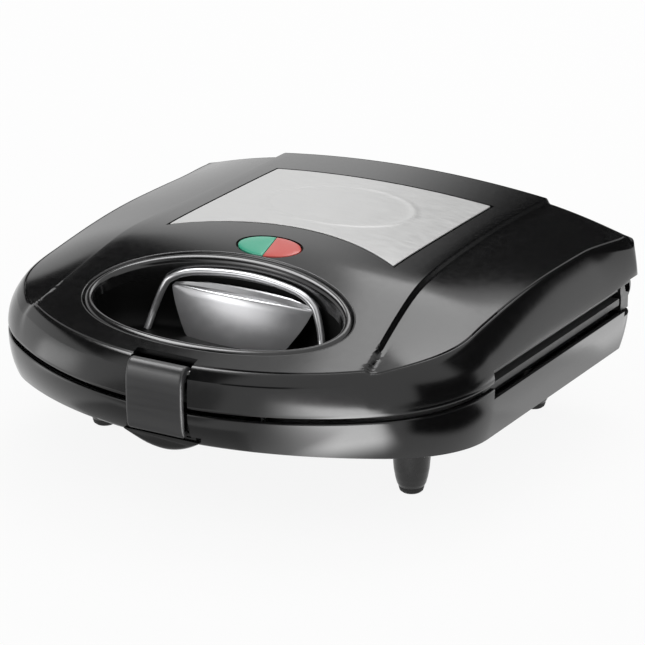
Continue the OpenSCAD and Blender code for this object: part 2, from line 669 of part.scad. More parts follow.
// slab that follows the lid's top, grown by g, from d below it to u above it
module badge_volume(g, d, u) {
    nx = 12;
    ny = 6;
    notch = 16.5;
    function edge(v) = mix(badge_w, badge_w - 1, v) + g;
    function spot(i, j) = let (v = j / ny, share = -1 + 2 * i / nx, x = edge(v) * share,
        y0 = badge_y - badge_d / 2 - g + notch * (1 - share * share), y1 = badge_y + badge_d / 2 + g)
        [x, mix(y0, y1, v)];
    pts = [for (h = [-d, u]) for (j = [0:ny]) for (i = [0:nx]) let (p = spot(i, j))
        [p[0], p[1], top_z(p[0], p[1]) + h]];
    n = (nx + 1) * (ny + 1);
    function id(k, i, j) = k * n + j * (nx + 1) + i;
    rim = concat([for (i = [0:nx]) [i, 0]], [for (j = [1:ny]) [nx, j]],
        [for (i = [nx - 1:-1:0]) [i, ny]], [for (j = [ny - 1:-1:1]) [0, j]]);
    polyhedron(pts, concat(
        [for (j = [0:ny - 1]) for (i = [0:nx - 1]) each [
            [id(0, i, j), id(0, i + 1, j), id(0, i + 1, j + 1)],
            [id(0, i, j), id(0, i + 1, j + 1), id(0, i, j + 1)],
            [id(1, i, j), id(1, i + 1, j + 1), id(1, i + 1, j)],
            [id(1, i, j), id(1, i, j + 1), id(1, i + 1, j + 1)]]],
        [for (k = [0:len(rim) - 1]) let (a = rim[k], b = rim[(k + 1) % len(rim)])
            each [[id(0, a[0], a[1]), id(1, b[0], b[1]), id(0, b[0], b[1])],
                [id(0, a[0], a[1]), id(1, a[0], a[1]), id(1, b[0], b[1])]]]), convexity = 4);
}
module badge_plate() { color([0.78, 0.78, 0.78]) badge_volume(0, 0.6, 0.4); }

// lamp window: an oval in two halves that meet on a slanted line, laid on the lid's slope;
// sx is -1 for the left half, 1 for the right half and 0 for the whole oval
lens_a = 15.5;
lens_b = 9.5;
lens_y = -20;
lens_t = 3.2;
module lens_place() { translate([0, lens_y, 95.2]) rotate([7.6, 0, 0]) children(); }
module lens_sheet(sx, z0, z1, g) {
    n = 24;
    lean = 6.7;
    arc = [for (i = [0:n - (sx == 0 ? 1 : 0)]) let (a = 90 + lean - (sx == 0 ? 360 : sx * 180) * i / n)
        [(lens_a + g) * cos(a), (lens_b + g) * sin(a)]];
    lens_place() translate([0, 0, z0]) linear_extrude(z1 - z0) polygon(arc);
}
module power_lens() { color([0.1, 0.55, 0.3]) lens_sheet(-1, -lens_t, 0, 0); }
module ready_lens() { color([0.85, 0.15, 0.12]) lens_sheet(1, -lens_t, 0, 0); }
module lamp_holder() {
    color([0.8, 0.8, 0.78]) lens_place() difference() {
        box([-19, -8, -12], [19, 11, -lens_t]);
        for (sx = [-1, 1]) translate([sx * 7.5, 0, -11]) cylinder(r = 3.6, h = 20, $fn = 32);
    }
}
module neon_lamps() {
    color([0.95, 0.7, 0.5]) lens_place() for (sx = [-1, 1]) translate([sx * 7.5, 0, -11])
        cylinder(r = 3, h = 7, $fn = 32);
}

module upper_cooking_plate() { color([0.13, 0.13, 0.135]) translate([0, 0, plate_up]) cooking_plate(); }

// ---------- latch ----------
module latch_pin() { color([0.75, 0.75, 0.75]) bar_x(latch_y, latch_z, latch_pin_r, -17, 17); }
module latch() {
    section = [[-114.4, 38.7], [-115.8, 40.2], [-116.6, 46], [-116.9, 54], [-116.8, 62], [-116.3, 65.8],
        [-115, 68.7], [-113.2, 70.3], [-111.4, 70.6], [-109.4, 70], [-107.6, 68.7], [-107, 67],
        [-107.5, 65.4], [-109, 64.4], [-112.4, 64], [-113.6, 62.5], [-113.8, 52], [-113.6, 43],
        [-113.2, 41.6], [-111, 41.6], [-110.7, 40.4], [-111.6, 38.7]];
    color([0.07, 0.07, 0.075]) difference() {
        translate([-latch_w / 2, 0, 0]) rotate([90, 0, 90]) linear_extrude(latch_w) polygon(section);
        bar_x(latch_y, latch_z, latch_pin_r + 0.06, -20, 20);
    }
}

base_shell();
base_frame();
lower_cooking_plate();
lower_heating_element();
lower_heat_shield();
lower_plate_screws();
base_screws();
front_left_foot();
front_right_foot();
rear_left_foot();
rear_right_foot();
foot_pads();
hinge_blocks();
hinge_pins();
rear_spine();
cord_gland();
cord_clamp();
terminal_block();
thermostat();
thermal_fuse();
base_leads();
lid_shell();
lid_frame();
finger_well();
handle_grip();
badge_plate();
power_lens();
ready_lens();
lamp_holder();
neon_lamps();
upper_cooking_plate();
upper_heating_element();
upper_heat_shield();
upper_plate_screws();
lid_screws();
hinge_bar();
lid_leads();
latch_pin();
latch();
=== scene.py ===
# %% [markdown]
# # A black sandwich toaster, dressed for its photograph
# The CAD model gives every piece its place and its way of moving. This notebook puts the
# smooth, glossy outside on it: two moulded housings, an oval finger well with a grip, a lamp
# window, a brushed badge plate, a latch, and good materials for everything that is carried over.
# We load the frame first. The dressed model has to stay inside it.

# %% The CAD frame
import json
import math
import bpy
import numpy as np
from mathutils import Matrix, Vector

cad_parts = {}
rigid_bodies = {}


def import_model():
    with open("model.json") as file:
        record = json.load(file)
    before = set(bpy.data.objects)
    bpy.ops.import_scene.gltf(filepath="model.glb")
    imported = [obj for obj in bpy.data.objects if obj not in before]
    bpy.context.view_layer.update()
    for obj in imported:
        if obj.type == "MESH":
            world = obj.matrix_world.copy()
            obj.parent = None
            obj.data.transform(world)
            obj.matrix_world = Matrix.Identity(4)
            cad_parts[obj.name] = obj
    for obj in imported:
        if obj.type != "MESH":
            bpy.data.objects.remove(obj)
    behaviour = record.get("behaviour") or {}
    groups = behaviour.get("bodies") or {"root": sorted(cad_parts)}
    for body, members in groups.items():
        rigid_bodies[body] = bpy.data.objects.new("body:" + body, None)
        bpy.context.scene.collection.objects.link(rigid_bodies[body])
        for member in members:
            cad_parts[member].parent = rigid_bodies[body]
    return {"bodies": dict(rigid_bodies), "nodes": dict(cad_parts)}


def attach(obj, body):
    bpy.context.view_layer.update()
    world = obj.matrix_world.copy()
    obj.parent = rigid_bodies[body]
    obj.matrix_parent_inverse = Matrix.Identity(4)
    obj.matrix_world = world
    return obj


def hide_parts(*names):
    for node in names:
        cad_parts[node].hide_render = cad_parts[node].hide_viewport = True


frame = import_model()
for thing in list(bpy.context.scene.objects):
    if thing not in list(frame["nodes"].values()) + list(frame["bodies"].values()):
        bpy.data.objects.remove(thing, do_unlink=True)
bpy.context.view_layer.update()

# %% [markdown]
# ## The camera
# The toaster was photographed from its right front, twenty degrees above the table, through a
# long lens. The target, distance and lens were found by fitting known points of the housings to
# the picture. A tiny shift of the lens puts the object where it stands in the frame.

# %% Camera
MM = 0.001
target = Vector((0.0, 24.0, 45.0)) * MM
azimuth, elevation, distance = math.radians(30.23), math.radians(19.98), 1605.72 * MM
back = Vector((math.sin(azimuth) * math.cos(elevation), -math.cos(azimuth) * math.cos(elevation),
               math.sin(elevation)))
lens = bpy.data.cameras.new("photo_lens")
lens.lens = 3500.0 / 645.0 * 36.0
lens.sensor_width = 36.0
lens.shift_x, lens.shift_y = 3.0 / 645.0, 1.08 / 645.0
lens.clip_start, lens.clip_end = 0.1, 30.0
camera = bpy.data.objects.new("camera", lens)
bpy.context.scene.collection.objects.link(camera)
camera.location = target + back * distance
camera.rotation_euler = (-back).to_track_quat("-Z", "Y").to_euler()
bpy.context.scene.camera = camera
print("lens", round(lens.lens, 2), "mm, at", [round(v, 3) for v in camera.location])

# %% [markdown]
# ## The shape of the housings, as numbers
# Seen from above the body is a bowed front, two large front corners, straight sides and two
# small rear corners. We could draw that with a curve, but a list of points with their outward
# normals lets every later ring of the housings be the same line, moved in by some distance.
# All the numbers are in millimetres, as in the CAD model, and become metres in the mesh.

# %% The outline
HALF_W, FRONT_Y, REAR_Y = 119.95, -114.5, 113.5
FRONT_R, CORNER_R, REAR_R, BASE_REAR_R = 159.0, 64.5, 5.0, 16.0
corner_x = HALF_W - CORNER_R
split = math.asin(corner_x / (FRONT_R - CORNER_R))
corner_y = FRONT_Y + FRONT_R - (FRONT_R - CORNER_R) * math.cos(split)


REAR_N = 14


def right_half(front_n=44, corner_n=44, side_n=52, rear_n=REAR_N):
    """Points of the right half from front to rear: x, y, normal x, normal y."""
    rows = [(FRONT_R * math.sin(a), FRONT_Y + FRONT_R - FRONT_R * math.cos(a), math.sin(a), -math.cos(a))
            for a in np.linspace(0, split, front_n + 1)]
    rows += [(corner_x + CORNER_R * math.sin(a), corner_y - CORNER_R * math.cos(a), math.sin(a), -math.cos(a))
             for a in np.linspace(split, math.pi / 2, corner_n + 1)[1:]]
    rows += [(HALF_W, y, 1.0, 0.0) for y in np.linspace(corner_y, REAR_Y - REAR_R, side_n + 1)[1:-1]]
    rows += [(HALF_W - REAR_R + REAR_R * math.cos(a), REAR_Y - REAR_R + REAR_R * math.sin(a),
              math.cos(a), math.sin(a)) for a in np.linspace(0, math.pi / 2, rear_n + 1)]
    return np.array(rows)


half = right_half()
print(len(half), "points from the front to the rear")

# %% [markdown]
# The lid's top is a height map: a raised middle panel that climbs from the front and stays
# level at the rear, a small step along its edge, and shoulders that sink to the rim. The same
# formulas as in the CAD model keep the smooth skin on the solids.

# %% The height of the lid


LID_TOP, CROWN = 97.5, 4.4


def soft_min(a, b, k):
    """The lower of two heights, with a rounded bend of width k between them."""
    return (a + b - np.sqrt((a - b) ** 2 + k * k)) / 2


def ease(v):
    u = np.clip(v, 0, 1)
    return u * u * (3 - 2 * u)


def parting(t):
    """Height of the line where the two housings meet."""
    return 51.2 + 5.8 * np.clip(t / 95.0, 0, 1)


def panel_z(x, t):
    """Height of the raised panel: a climbing line that turns level, less the crown to the sides."""
    middle = soft_min(69.3 + 0.305 * t, LID_TOP - 0.7 * (np.maximum(0, t - 165) / 63) ** 2, 4.2)
    return middle - CROWN * (x / 72) ** 2


def panel_x(t):
    """Half width of the raised panel."""
    return 69.4 + 15.6 * ((190 - t) / 167) ** 2


def rim_z(t):
    """Height of the rim along the sides."""
    return (70.4 + 13.2 * (1 - np.cos(np.pi * np.minimum(t, 155) / 155)) / 2
            - 1.6 * (np.maximum(0, t - 155) / 65) ** 2)


STEP_W, STEP_H = 3.0, 2.7


def top_z(x, y):
    """Height of the lid's top at x, y."""
    x, t = np.abs(np.asarray(x, float)), np.asarray(y, float) - FRONT_Y
    edge = panel_x(t)
    low = panel_z(edge, t) - STEP_H * ease((t - 27) / 9)        # the step fades out at its front end
    u = np.clip((x - edge - STEP_W) / (109 - edge - STEP_W), 0, None)
    shoulder = low + (rim_z(t) - low) * np.minimum(u * (0.7 + 0.3 * u), u)
    riser = panel_z(np.minimum(x, edge + STEP_W), t) + (
        (low - panel_z(edge + STEP_W, t)) * ease(1.4 * (x - edge) / STEP_W - 0.2))
    return np.where(x <= edge, panel_z(x, t), np.where(x >= edge + STEP_W, shoulder, riser))


print("top at the middle", round(float(top_z(0, 40)), 2), "mm, at the front rim",
      round(float(top_z(0, -109)), 2))

# %% [markdown]
# ## Small helpers for modelling by hand
# Nearly every moulding here is a loop that is extruded again and again, each new loop pushed to
# its place. One helper does that: it starts from a circle, numbers its points, and after each
# extrusion moves the new points to the next ring. The number travels along with the extrusion,
# so a point always knows where on the outline it belongs.

# %% Modelling helpers


def only(obj):
    """Selects one object and nothing else."""
    bpy.ops.object.select_all(action="DESELECT")
    obj.select_set(True)
    bpy.context.view_layer.objects.active = obj


def mode(name):
    bpy.ops.object.mode_set(mode=name)


def numbered(obj, numbers):
    """Gives each point its number around the loop."""
    obj.data.attributes.new("place", "INT", "POINT").data.foreach_set("value", np.asarray(numbers, np.int32))


def selected_points(obj):
    picked = np.zeros(len(obj.data.vertices), bool)
    obj.data.vertices.foreach_get("select", picked)
    return np.nonzero(picked)[0]


def push_selected(obj, ring):
    """Moves the selected points to the ring's points of the same number, given in millimetres."""
    mode("OBJECT")
    picked = selected_points(obj)
    places = np.zeros(len(obj.data.vertices), np.int32)
    obj.data.attributes["place"].data.foreach_get("value", places)
    spots = np.zeros(len(obj.data.vertices) * 3)
    obj.data.vertices.foreach_get("co", spots)
    spots = spots.reshape(-1, 3)
    spots[picked] = np.asarray(ring)[places[picked]] * MM
    obj.data.vertices.foreach_set("co", spots.ravel())
    obj.data.update()
    mode("EDIT")


def rings_to_piece(name, rings, caps=True, closed=False):
    """A skin through rings of points: a circle that is extruded and pushed, ring by ring."""
    bpy.ops.object.select_all(action="DESELECT")
    bpy.ops.mesh.primitive_circle_add(vertices=len(rings[0]), radius=1.0, location=(0, 0, 0))
    piece = bpy.context.object
    piece.name = piece.data.name = name
    numbered(piece, range(len(rings[0])))
    mode("EDIT")
    bpy.ops.mesh.select_all(action="SELECT")
    push_selected(piece, rings[0])
    if caps is True or caps == "first":
        bpy.ops.mesh.edge_face_add()
        bpy.ops.mesh.select_all(action="SELECT")
    for ring in rings[1:]:
        if caps is True or caps == "first":
            bpy.ops.mesh.extrude_region_move()
        else:
            bpy.ops.mesh.extrude_edges_move()
        push_selected(piece, ring)
    if closed:
        bpy.ops.mesh.select_all(action="DESELECT")
        bpy.ops.mesh.select_non_manifold()
        bpy.ops.mesh.bridge_edge_loops()
    bpy.ops.mesh.select_all(action="SELECT")
    bpy.ops.mesh.normals_make_consistent(inside=False)
    mode("OBJECT")
    return piece


def smooth(piece, angle=35.0):
    only(piece)
    bpy.ops.object.shade_smooth_by_angle(angle=math.radians(angle))


def finish_modifier(piece, kind, **values):
    """Adds a modifier, sets it and applies it."""
    only(piece)
    modifier = piece.modifiers.new(kind.lower(), kind)
    for key, value in values.items():
        setattr(modifier, key, value)
    bpy.ops.object.modifier_apply(modifier=modifier.name)


def cut_away(piece, tool):
    """Takes a tool's volume out of a piece and removes the tool."""
    finish_modifier(piece, "BOOLEAN", operation="DIFFERENCE", solver="EXACT", object=tool)
    bpy.data.objects.remove(tool, do_unlink=True)


def block(low, high, round_by=0.0):
    """A cutting or filling block between two corners in millimetres, its edges rounded."""
    bpy.ops.object.select_all(action="DESELECT")
    centre = [(a + b) / 2 * MM for a, b in zip(low, high)]
    bpy.ops.mesh.primitive_cube_add(size=1.0, location=centre)
    tool = bpy.context.object
    tool.scale = [(b - a) * MM for a, b in zip(low, high)]
    bpy.ops.object.transform_apply(location=True, rotation=True, scale=True)
    if round_by:
        finish_modifier(tool, "BEVEL", width=round_by * MM, segments=3)
    return tool


def joined(*pieces):
    """Joins pieces into the first one."""
    bpy.ops.object.select_all(action="DESELECT")
    for piece in pieces:
        piece.select_set(True)
    bpy.context.view_layer.objects.active = pieces[0]
    bpy.ops.object.join()
    return pieces[0]


def measure(piece):
    """Prints a piece's faces and its box in millimetres."""
    spots = np.array([v.co[:] for v in piece.data.vertices]) / MM
    print(piece.name, len(piece.data.polygons), "faces", np.round(spots.min(0), 1), np.round(spots.max(0), 1))


# %% [markdown]
# ## The lid's housing
# On the real toaster this is one injection moulding, two and a half millimetres thick: a crowned
# top, a fine groove before the rim, a bevel and a wall that leans in. A sculpted surface would be
# hard to keep exact, so a plain grid is added and its rows are laid along the outline, with
# columns that follow the edges of the raised panel. The open border is then extruded down, ring
# by ring. A second, smaller skin is made the same way, and the two lower borders are bridged.

# %% Rings of the lid
COLUMNS = np.concatenate([np.linspace(0, 1, 15)[:-1], 1 + np.linspace(0, 1, 6)[:-1],
                          2 + (np.linspace(0, 1, 15)) ** 0.9])
SIDE = len(COLUMNS) - 1          # columns from the middle to the rim
ROWS = len(half) - 1             # rows from the front to the rear
LOOP = 2 * ROWS + 2 * SIDE       # points round the border


def column_x(reach, t):
    """Places of the columns from the middle to the rim of a row."""
    edge = min(float(panel_x(t)), 0.8 * reach)
    foot = min(float(panel_x(t)) + STEP_W, 0.88 * reach)
    return np.interp(COLUMNS, [0, 1, 2, 3], [0, edge, foot, reach])


rear_columns = np.arange(SIDE - 1, -SIDE, -1)
left_half = half[::-1][:-1] * (-1, 1, -1, 1)
loop = np.vstack([half, [(0.0, REAR_Y, 0.0, 1.0)] * len(rear_columns), left_half])
on_rear_row = np.zeros(len(loop), bool)
on_rear_row[ROWS + 1:ROWS + 1 + len(rear_columns)] = True
at_rear = loop[:, 3] > 1e-9                                 # the rear corners and the rear row
straight = (np.abs(loop[:, 2]) > 1 - 1e-9) & ~at_rear       # the straight sides
corner_start, rear_start = ROWS - REAR_N, ROWS + 1
t_loop = loop[:, 1] - FRONT_Y
along = ease(t_loop / 90)                                   # 0 at the front, 1 along the sides
behind = np.where(at_rear, loop[:, 3] ** 2, 0)              # 1 on the rear wall
fall = ease((t_loop - 190) / 38)                            # the crest nears the side at the rear
rim_in = (5 + 6 * along - 4 * fall) * (1 - behind) + 1.5 * behind
wall_in = (0.6 + 8.4 * along - 6.5 * fall) * (1 - behind) + 0.5 * behind
bevel = (5 - 3.3 * along + 3 * fall) * (1 - behind) + 1.5 * behind
print(len(loop), "points round the lid")


def ring(inset, z, corner=REAR_R):
    """The outline moved in; the rear corners keep a radius of the corner less the inset, at least 1."""
    inset = np.broadcast_to(inset, len(loop)).astype(float)
    dx, dy = inset[corner_start], inset[rear_start]
    rx, ry = max(corner - dx, 1.0), max(corner - dy, 1.0)
    cx, cy = HALF_W - dx - rx, REAR_Y - dy - ry
    x, y = loop[:, 0] - loop[:, 2] * inset, loop[:, 1] - loop[:, 3] * inset
    y[straight] = corner_y + (loop[straight, 1] - corner_y) * (cy - corner_y) / (REAR_Y - REAR_R - corner_y)
    x[at_rear] = np.sign(loop[at_rear, 0]) * (cx + rx * np.abs(loop[at_rear, 2]))
    y[at_rear] = cy + ry * loop[at_rear, 3]
    columns = column_x(cx, REAR_Y - dy - FRONT_Y)
    x[on_rear_row] = np.sign(rear_columns) * columns[np.abs(rear_columns)]
    return np.stack([x, y, np.broadcast_to(z, len(loop))], axis=1)


def rim_height(inset):
    """Height of the lid's top along the outline moved in."""
    spots = ring(inset, 0)
    return top_z(spots[:, 0], spots[:, 1])


# %% The grid of the lid's top


def lid_skin(name, inset, drop, rings):
    """A grid laid on the lid's top, its border inset from the outline, then extruded through rings."""
    bpy.ops.object.select_all(action="DESELECT")
    bpy.ops.mesh.primitive_grid_add(x_subdivisions=2 * SIDE, y_subdivisions=ROWS, size=2.0,
                                    location=(0, 0, 0))
    skin = bpy.context.object
    skin.name = skin.data.name = name
    spots = np.array([v.co[:] for v in skin.data.vertices])
    col = np.rint((spots[:, 0] + 1) / 2 * (2 * SIDE)).astype(int) - SIDE      # -SIDE left .. SIDE right
    row = np.rint((spots[:, 1] + 1) / 2 * ROWS).astype(int)
    border = ring(inset, 0)
    x = np.zeros(len(spots))
    y = np.zeros(len(spots))
    for i in range(ROWS + 1):
        here = row == i
        reach = border[i][0]
        xs = column_x(reach, border[i][1] - FRONT_Y) if i else np.zeros(SIDE + 1)
        x[here] = np.sign(col[here]) * xs[np.abs(col[here])]
        y[here] = border[i][1]
    z = top_z(x, y) - drop
    place = np.full(len(spots), -1)
    place[(row == 0)] = 0
    place[(col == SIDE) & (row > 0)] = row[(col == SIDE) & (row > 0)]
    rear_row = (row == ROWS) & (col < SIDE)
    place[rear_row] = ROWS + (SIDE - col[rear_row])
    left = (col == -SIDE) & (row > 0)
    place[left] = LOOP - row[left]
    skin.data.vertices.foreach_set("co", (np.stack([x, y, z], axis=1) * MM).ravel())
    numbered(skin, place)
    mode("EDIT")
    bpy.ops.mesh.select_all(action="SELECT")
    bpy.ops.mesh.remove_doubles(threshold=1e-6)
    bpy.ops.mesh.select_all(action="DESELECT")
    bpy.ops.mesh.select_non_manifold()
    for spot in rings:
        bpy.ops.mesh.extrude_edges_move()
        push_selected(skin, spot)
    mode("OBJECT")
    return skin


lip_z = parting(t_loop) + 1.2
edge_z = rim_height(rim_in)
wall_top = edge_z - bevel
outer = [ring(rim_in + 0.55, rim_height(rim_in + 0.9) - 0.75), ring(rim_in + 0.2, edge_z - 0.7),
         ring(rim_in - 0.15, edge_z - 0.12), ring(rim_in - 0.55, edge_z - 0.25)]
for u in (0.25, 0.5, 0.75, 0.93):
    d = (rim_in - 0.55) + (wall_in - rim_in + 0.55) * u
    outer.append(ring(d, edge_z - 0.25 + (wall_top - edge_z + 0.25) * (0.75 * u + 0.25 * u * u)))
for v in (1.0, 0.97, 0.9, 0.8, 0.7, 0.6, 0.5, 0.4, 0.3, 0.2, 0.12, 0.06, 0.02):
    outer.append(ring(wall_in * v * v + (0.25 if v == 0.02 else 0.0), lip_z + (wall_top - lip_z) * v))
outer.append(ring(0.35, lip_z))
outer.append(ring(1.0, lip_z - 0.05))
wall_t = 2.4
inner = [ring(wall_in * v * v + wall_t, lip_z + (wall_top - wall_t - lip_z) * v)
         for v in (1.0, 0.7, 0.4, 0.1)]
inner.append(ring(wall_t - 0.3, lip_z))
lid = lid_skin("lid_housing", rim_in + 0.9, 0.0, outer)
lining = lid_skin("lid_lining", rim_in + wall_t, wall_t, inner)
lid = joined(lid, lining)
mode("EDIT")
bpy.ops.mesh.select_all(action="DESELECT")
bpy.ops.mesh.select_non_manifold()
bpy.ops.mesh.bridge_edge_loops()
bpy.ops.mesh.select_all(action="SELECT")
bpy.ops.mesh.normals_make_consistent(inside=False)
mode("OBJECT")
measure(lid)

# %% [markdown]
# The openings are cut now: the oval for the fingers, the notch for the latch, the long slots
# beside the cooking plates, the low rear edge over the hinges, the shallow bed of the badge and
# the lamp window. Each tool is a primitive of the opening's own form, taken out by a boolean.

# %% Openings of the lid


def oval_tool(a, b, y, z0, z1, name="oval"):
    bpy.ops.object.select_all(action="DESELECT")
    bpy.ops.mesh.primitive_cylinder_add(vertices=128, radius=1.0, depth=1.0,
                                        location=(0, y * MM, (z0 + z1) / 2 * MM))
    tool = bpy.context.object
    tool.name = name
    tool.scale = (a * MM, b * MM, (z1 - z0) * MM)
    bpy.ops.object.transform_apply(location=True, rotation=True, scale=True)
    return tool


WELL_A, WELL_B, WELL_Y = 64.0, 32.0, -65.0
NOTCH = 15.25
cut_away(lid, oval_tool(WELL_A + 2.5, WELL_B + 2.5, WELL_Y, 40, 120))
cut_away(lid, block((-NOTCH, -135, 40), (NOTCH, -104.6, 100)))
for sx in (-1, 1):
    cut_away(lid, block((min(sx * 114, sx * 130), -32.6, 30), (max(sx * 114, sx * 130), 101, 63)))
cut_away(lid, block((-130, 101, 30), (130, 130, 64)))
measure(lid)


# %% The badge's bed and the lamp window
BADGE_Y0, BADGE_Y1 = -11.5, 82.5


def badge_spots(grow, u, v):
    """Place on the badge for u from -1 to 1 across and v from 0 to 1 along."""
    half_x = 58.0 - 1.0 * v + grow
    x = half_x * u
    y0 = BADGE_Y0 - grow + 16.5 * (1 - u * u)
    return x, y0 + (BADGE_Y1 + grow - y0) * v


def badge_slab(name, grow, low, high, nu=48, nv=32):
    """A slab with the badge's outline that follows the lid's top."""
    bpy.ops.object.select_all(action="DESELECT")
    bpy.ops.mesh.primitive_grid_add(x_subdivisions=nu, y_subdivisions=nv, size=2.0, location=(0, 0, 0))
    slab = bpy.context.object
    slab.name = slab.data.name = name
    spots = np.array([v.co[:] for v in slab.data.vertices])
    x, y = badge_spots(grow, spots[:, 0], (spots[:, 1] + 1) / 2)
    slab.data.vertices.foreach_set("co", (np.stack([x, y, top_z(x, y) + high], axis=1) * MM).ravel())
    mode("EDIT")
    bpy.ops.mesh.select_all(action="SELECT")
    bpy.ops.mesh.extrude_region_move(TRANSFORM_OT_translate={"value": (0, 0, (low - high) * MM)})
    bpy.ops.mesh.select_all(action="SELECT")
    bpy.ops.mesh.normals_make_consistent(inside=False)
    mode("OBJECT")
    return slab


LENS_A, LENS_B, LENS_Y, LENS_Z = 15.5, 9.5, -20.0, 95.2
cut_away(lid, badge_slab("badge_bed", 1.3, -1.3, 4.0))
cut_away(lid, oval_tool(LENS_A + 0.85, LENS_B + 0.85, LENS_Y, 84, 110))
smooth(lid, 28)
measure(lid)

# %% [markdown]
# ## The oval rim
# The hole for the fingers is edged by a fine groove with a broad half-round bead inside it, the
# brightest band on the lid. We turn the lip's profile into a list of steps, inward and down, and
# run it round the oval as a skin of rings that closes on itself. A bevelled boolean edge would be
# quicker, but the bead would have to be a second tube, and the two would never meet cleanly.

# %% The oval rim
WELL_N = 144
turns = np.linspace(0, 2 * math.pi, WELL_N, endpoint=False)


def oval_ring(inward, drop=None, z=None):
    """The well's oval, moved inward from the hole's edge, below the lid's top or at a level."""
    x = (WELL_A + 2.5 - inward) * np.cos(turns)
    y = WELL_Y + (WELL_B + 2.5 - inward) * np.sin(turns)
    return np.stack([x, y, np.full(WELL_N, z) if drop is None else top_z(x, y) - drop], axis=1)


BEAD_IN, BEAD_DROP, BEAD_R = 2.95, 2.35, 2.4
lip = [(-0.6, 0.5), (-0.5, -0.02), (-0.1, -0.02), (0.15, 0.15), (0.35, 0.7), (0.5, 1.5)]
bead = [(BEAD_IN - BEAD_R * math.cos(a), BEAD_DROP - BEAD_R * math.sin(a))
        for a in np.radians(np.linspace(28, 180, 18))]
under = [(BEAD_IN + BEAD_R, 6.0), (BEAD_IN + BEAD_R, 9.0), (2.4, 9.0), (-0.6, 3.0)]
rim = rings_to_piece("oval_rim", [oval_ring(i, d) for i, d in lip + bead + under], caps=False, closed=True)
smooth(rim, 40)
measure(rim)

# %% [markdown]
# ## The finger well
# A soft bowl under the rim, so that fingers can curl behind the grip. It is one skin of oval
# rings with a flat floor, a wide fillet and nearly upright walls.

# %% The finger well
WELL_FLOOR = 56.6
bowl = [oval_ring(9.5, z=WELL_FLOOR), oval_ring(7.6, z=WELL_FLOOR + 0.5), oval_ring(5.8, z=WELL_FLOOR + 3.0),
        oval_ring(4.6, z=70), oval_ring(4.2, 5.2), oval_ring(5.25, 5.2), oval_ring(5.6, z=72),
        oval_ring(6.2, z=66), oval_ring(7.2, z=WELL_FLOOR + 5.5), oval_ring(8.6, z=WELL_FLOOR + 3.2),
        oval_ring(10.8, z=WELL_FLOOR + 2.2), oval_ring(15.0, z=WELL_FLOOR + 2.0)]
well = rings_to_piece("finger_bowl", bowl)
smooth(well, 50)
measure(well)

# %% [markdown]
# ## The grip
# The fingers pull on a bowed, satin panel with slanted ends, and a round bail runs behind it from
# the floor of the well, over the back and down again. The panel is a row of sections from left to
# right, each a closed line of points: up the face, across the dished top and down the back. The
# bail is a circle carried along a smooth path.

# %% The grip's panel
GRIP_HW, GRIP_Y, GRIP_BOW, GRIP_TOP, GRIP_LEAN = 36.0, -44.0, 4.6, 80.2, 0.25
GRIP_FOOT = WELL_FLOOR + 2.0


def face_y(x):
    """Front of the grip's bowed face."""
    return GRIP_Y - GRIP_BOW * (1 - (x / GRIP_HW) ** 2)


def foot_z(x):
    """The panel's lower edge: flat in the middle, climbing to the slanted ends."""
    climb = np.clip((GRIP_HW - abs(x)) / 11.5, 0, 1) ** (1 / 1.3)
    return GRIP_TOP - 2.2 - (GRIP_TOP - 2.2 - GRIP_FOOT) * climb


def panel_section(x):
    """One section: up the face, over the front edge, across the dish, over the ridge and down the back."""
    y0, top, low = face_y(x), GRIP_TOP - 1.6 * (x / GRIP_HW) ** 2, foot_z(x)
    fade = math.sqrt(max(0.0, 1 - (abs(x) / (GRIP_HW + 0.6)) ** 4))     # the depth closes towards the ends
    depth = 2.0 + (GRIP_Y + 6.6 - y0 - 2.0) * fade
    rise = np.array([0, 0.1, 0.25, 0.4, 0.55, 0.7, 0.85, 1.0]) * (top - 0.7 - low) + low
    face = [(x, y0 - GRIP_LEAN * (top - z), z) for z in rise]
    dish = [(0.02, -0.28), (0.06, -0.06), (0.11, 0.0), (0.17, -0.12), (0.28, -0.9 * fade),
            (0.42, -1.7 * fade), (0.56, -1.3 * fade), (0.64, -0.2 * fade), (0.67, 0.25 * fade),
            (0.70, 0.1 * fade), (0.73, -0.9 * fade), (0.85, -1.4 * fade), (1.0, -0.8 * fade)]
    over = [(x, y0 + depth * u, top + w + 1.2 * u * fade) for u, w in dish]
    back = [(x, y0 + depth * (0.68 + 0.32 * v) - GRIP_LEAN * (top - low) * (1 - v), low + (top - low) * v)
            for v in (0.8, 0.4, 0.05)]
    return np.array(face + over + back)


ends = (GRIP_HW - 0.15, GRIP_HW - 0.5, GRIP_HW - 1.0, GRIP_HW - 1.8, GRIP_HW - 2.9)
stations = np.array([-GRIP_HW] + [-x for x in ends] + list(np.linspace(-GRIP_HW + 4.2, GRIP_HW - 4.2, 41))
                    + list(ends[::-1]) + [GRIP_HW])
panel = rings_to_piece("grip_panel", [panel_section(x) for x in stations])
smooth(panel, 32)

# %% The grip's bail
BAIL_R = 1.7


def smooth_path(points, steps):
    """A Catmull-Rom line through the points."""
    p = np.vstack([2 * points[0] - points[1], points, 2 * points[-1] - points[-2]])
    line = []
    for i in range(1, len(p) - 2):
        for u in np.linspace(0, 1, steps, endpoint=False):
            line.append(0.5 * (2 * p[i] + (p[i + 1] - p[i - 1]) * u
                               + (2 * p[i - 1] - 5 * p[i] + 4 * p[i + 1] - p[i + 2]) * u * u
                               + (3 * p[i] - p[i - 1] - 3 * p[i + 1] + p[i + 2]) * u ** 3))
    return np.array(line + [p[-2]])


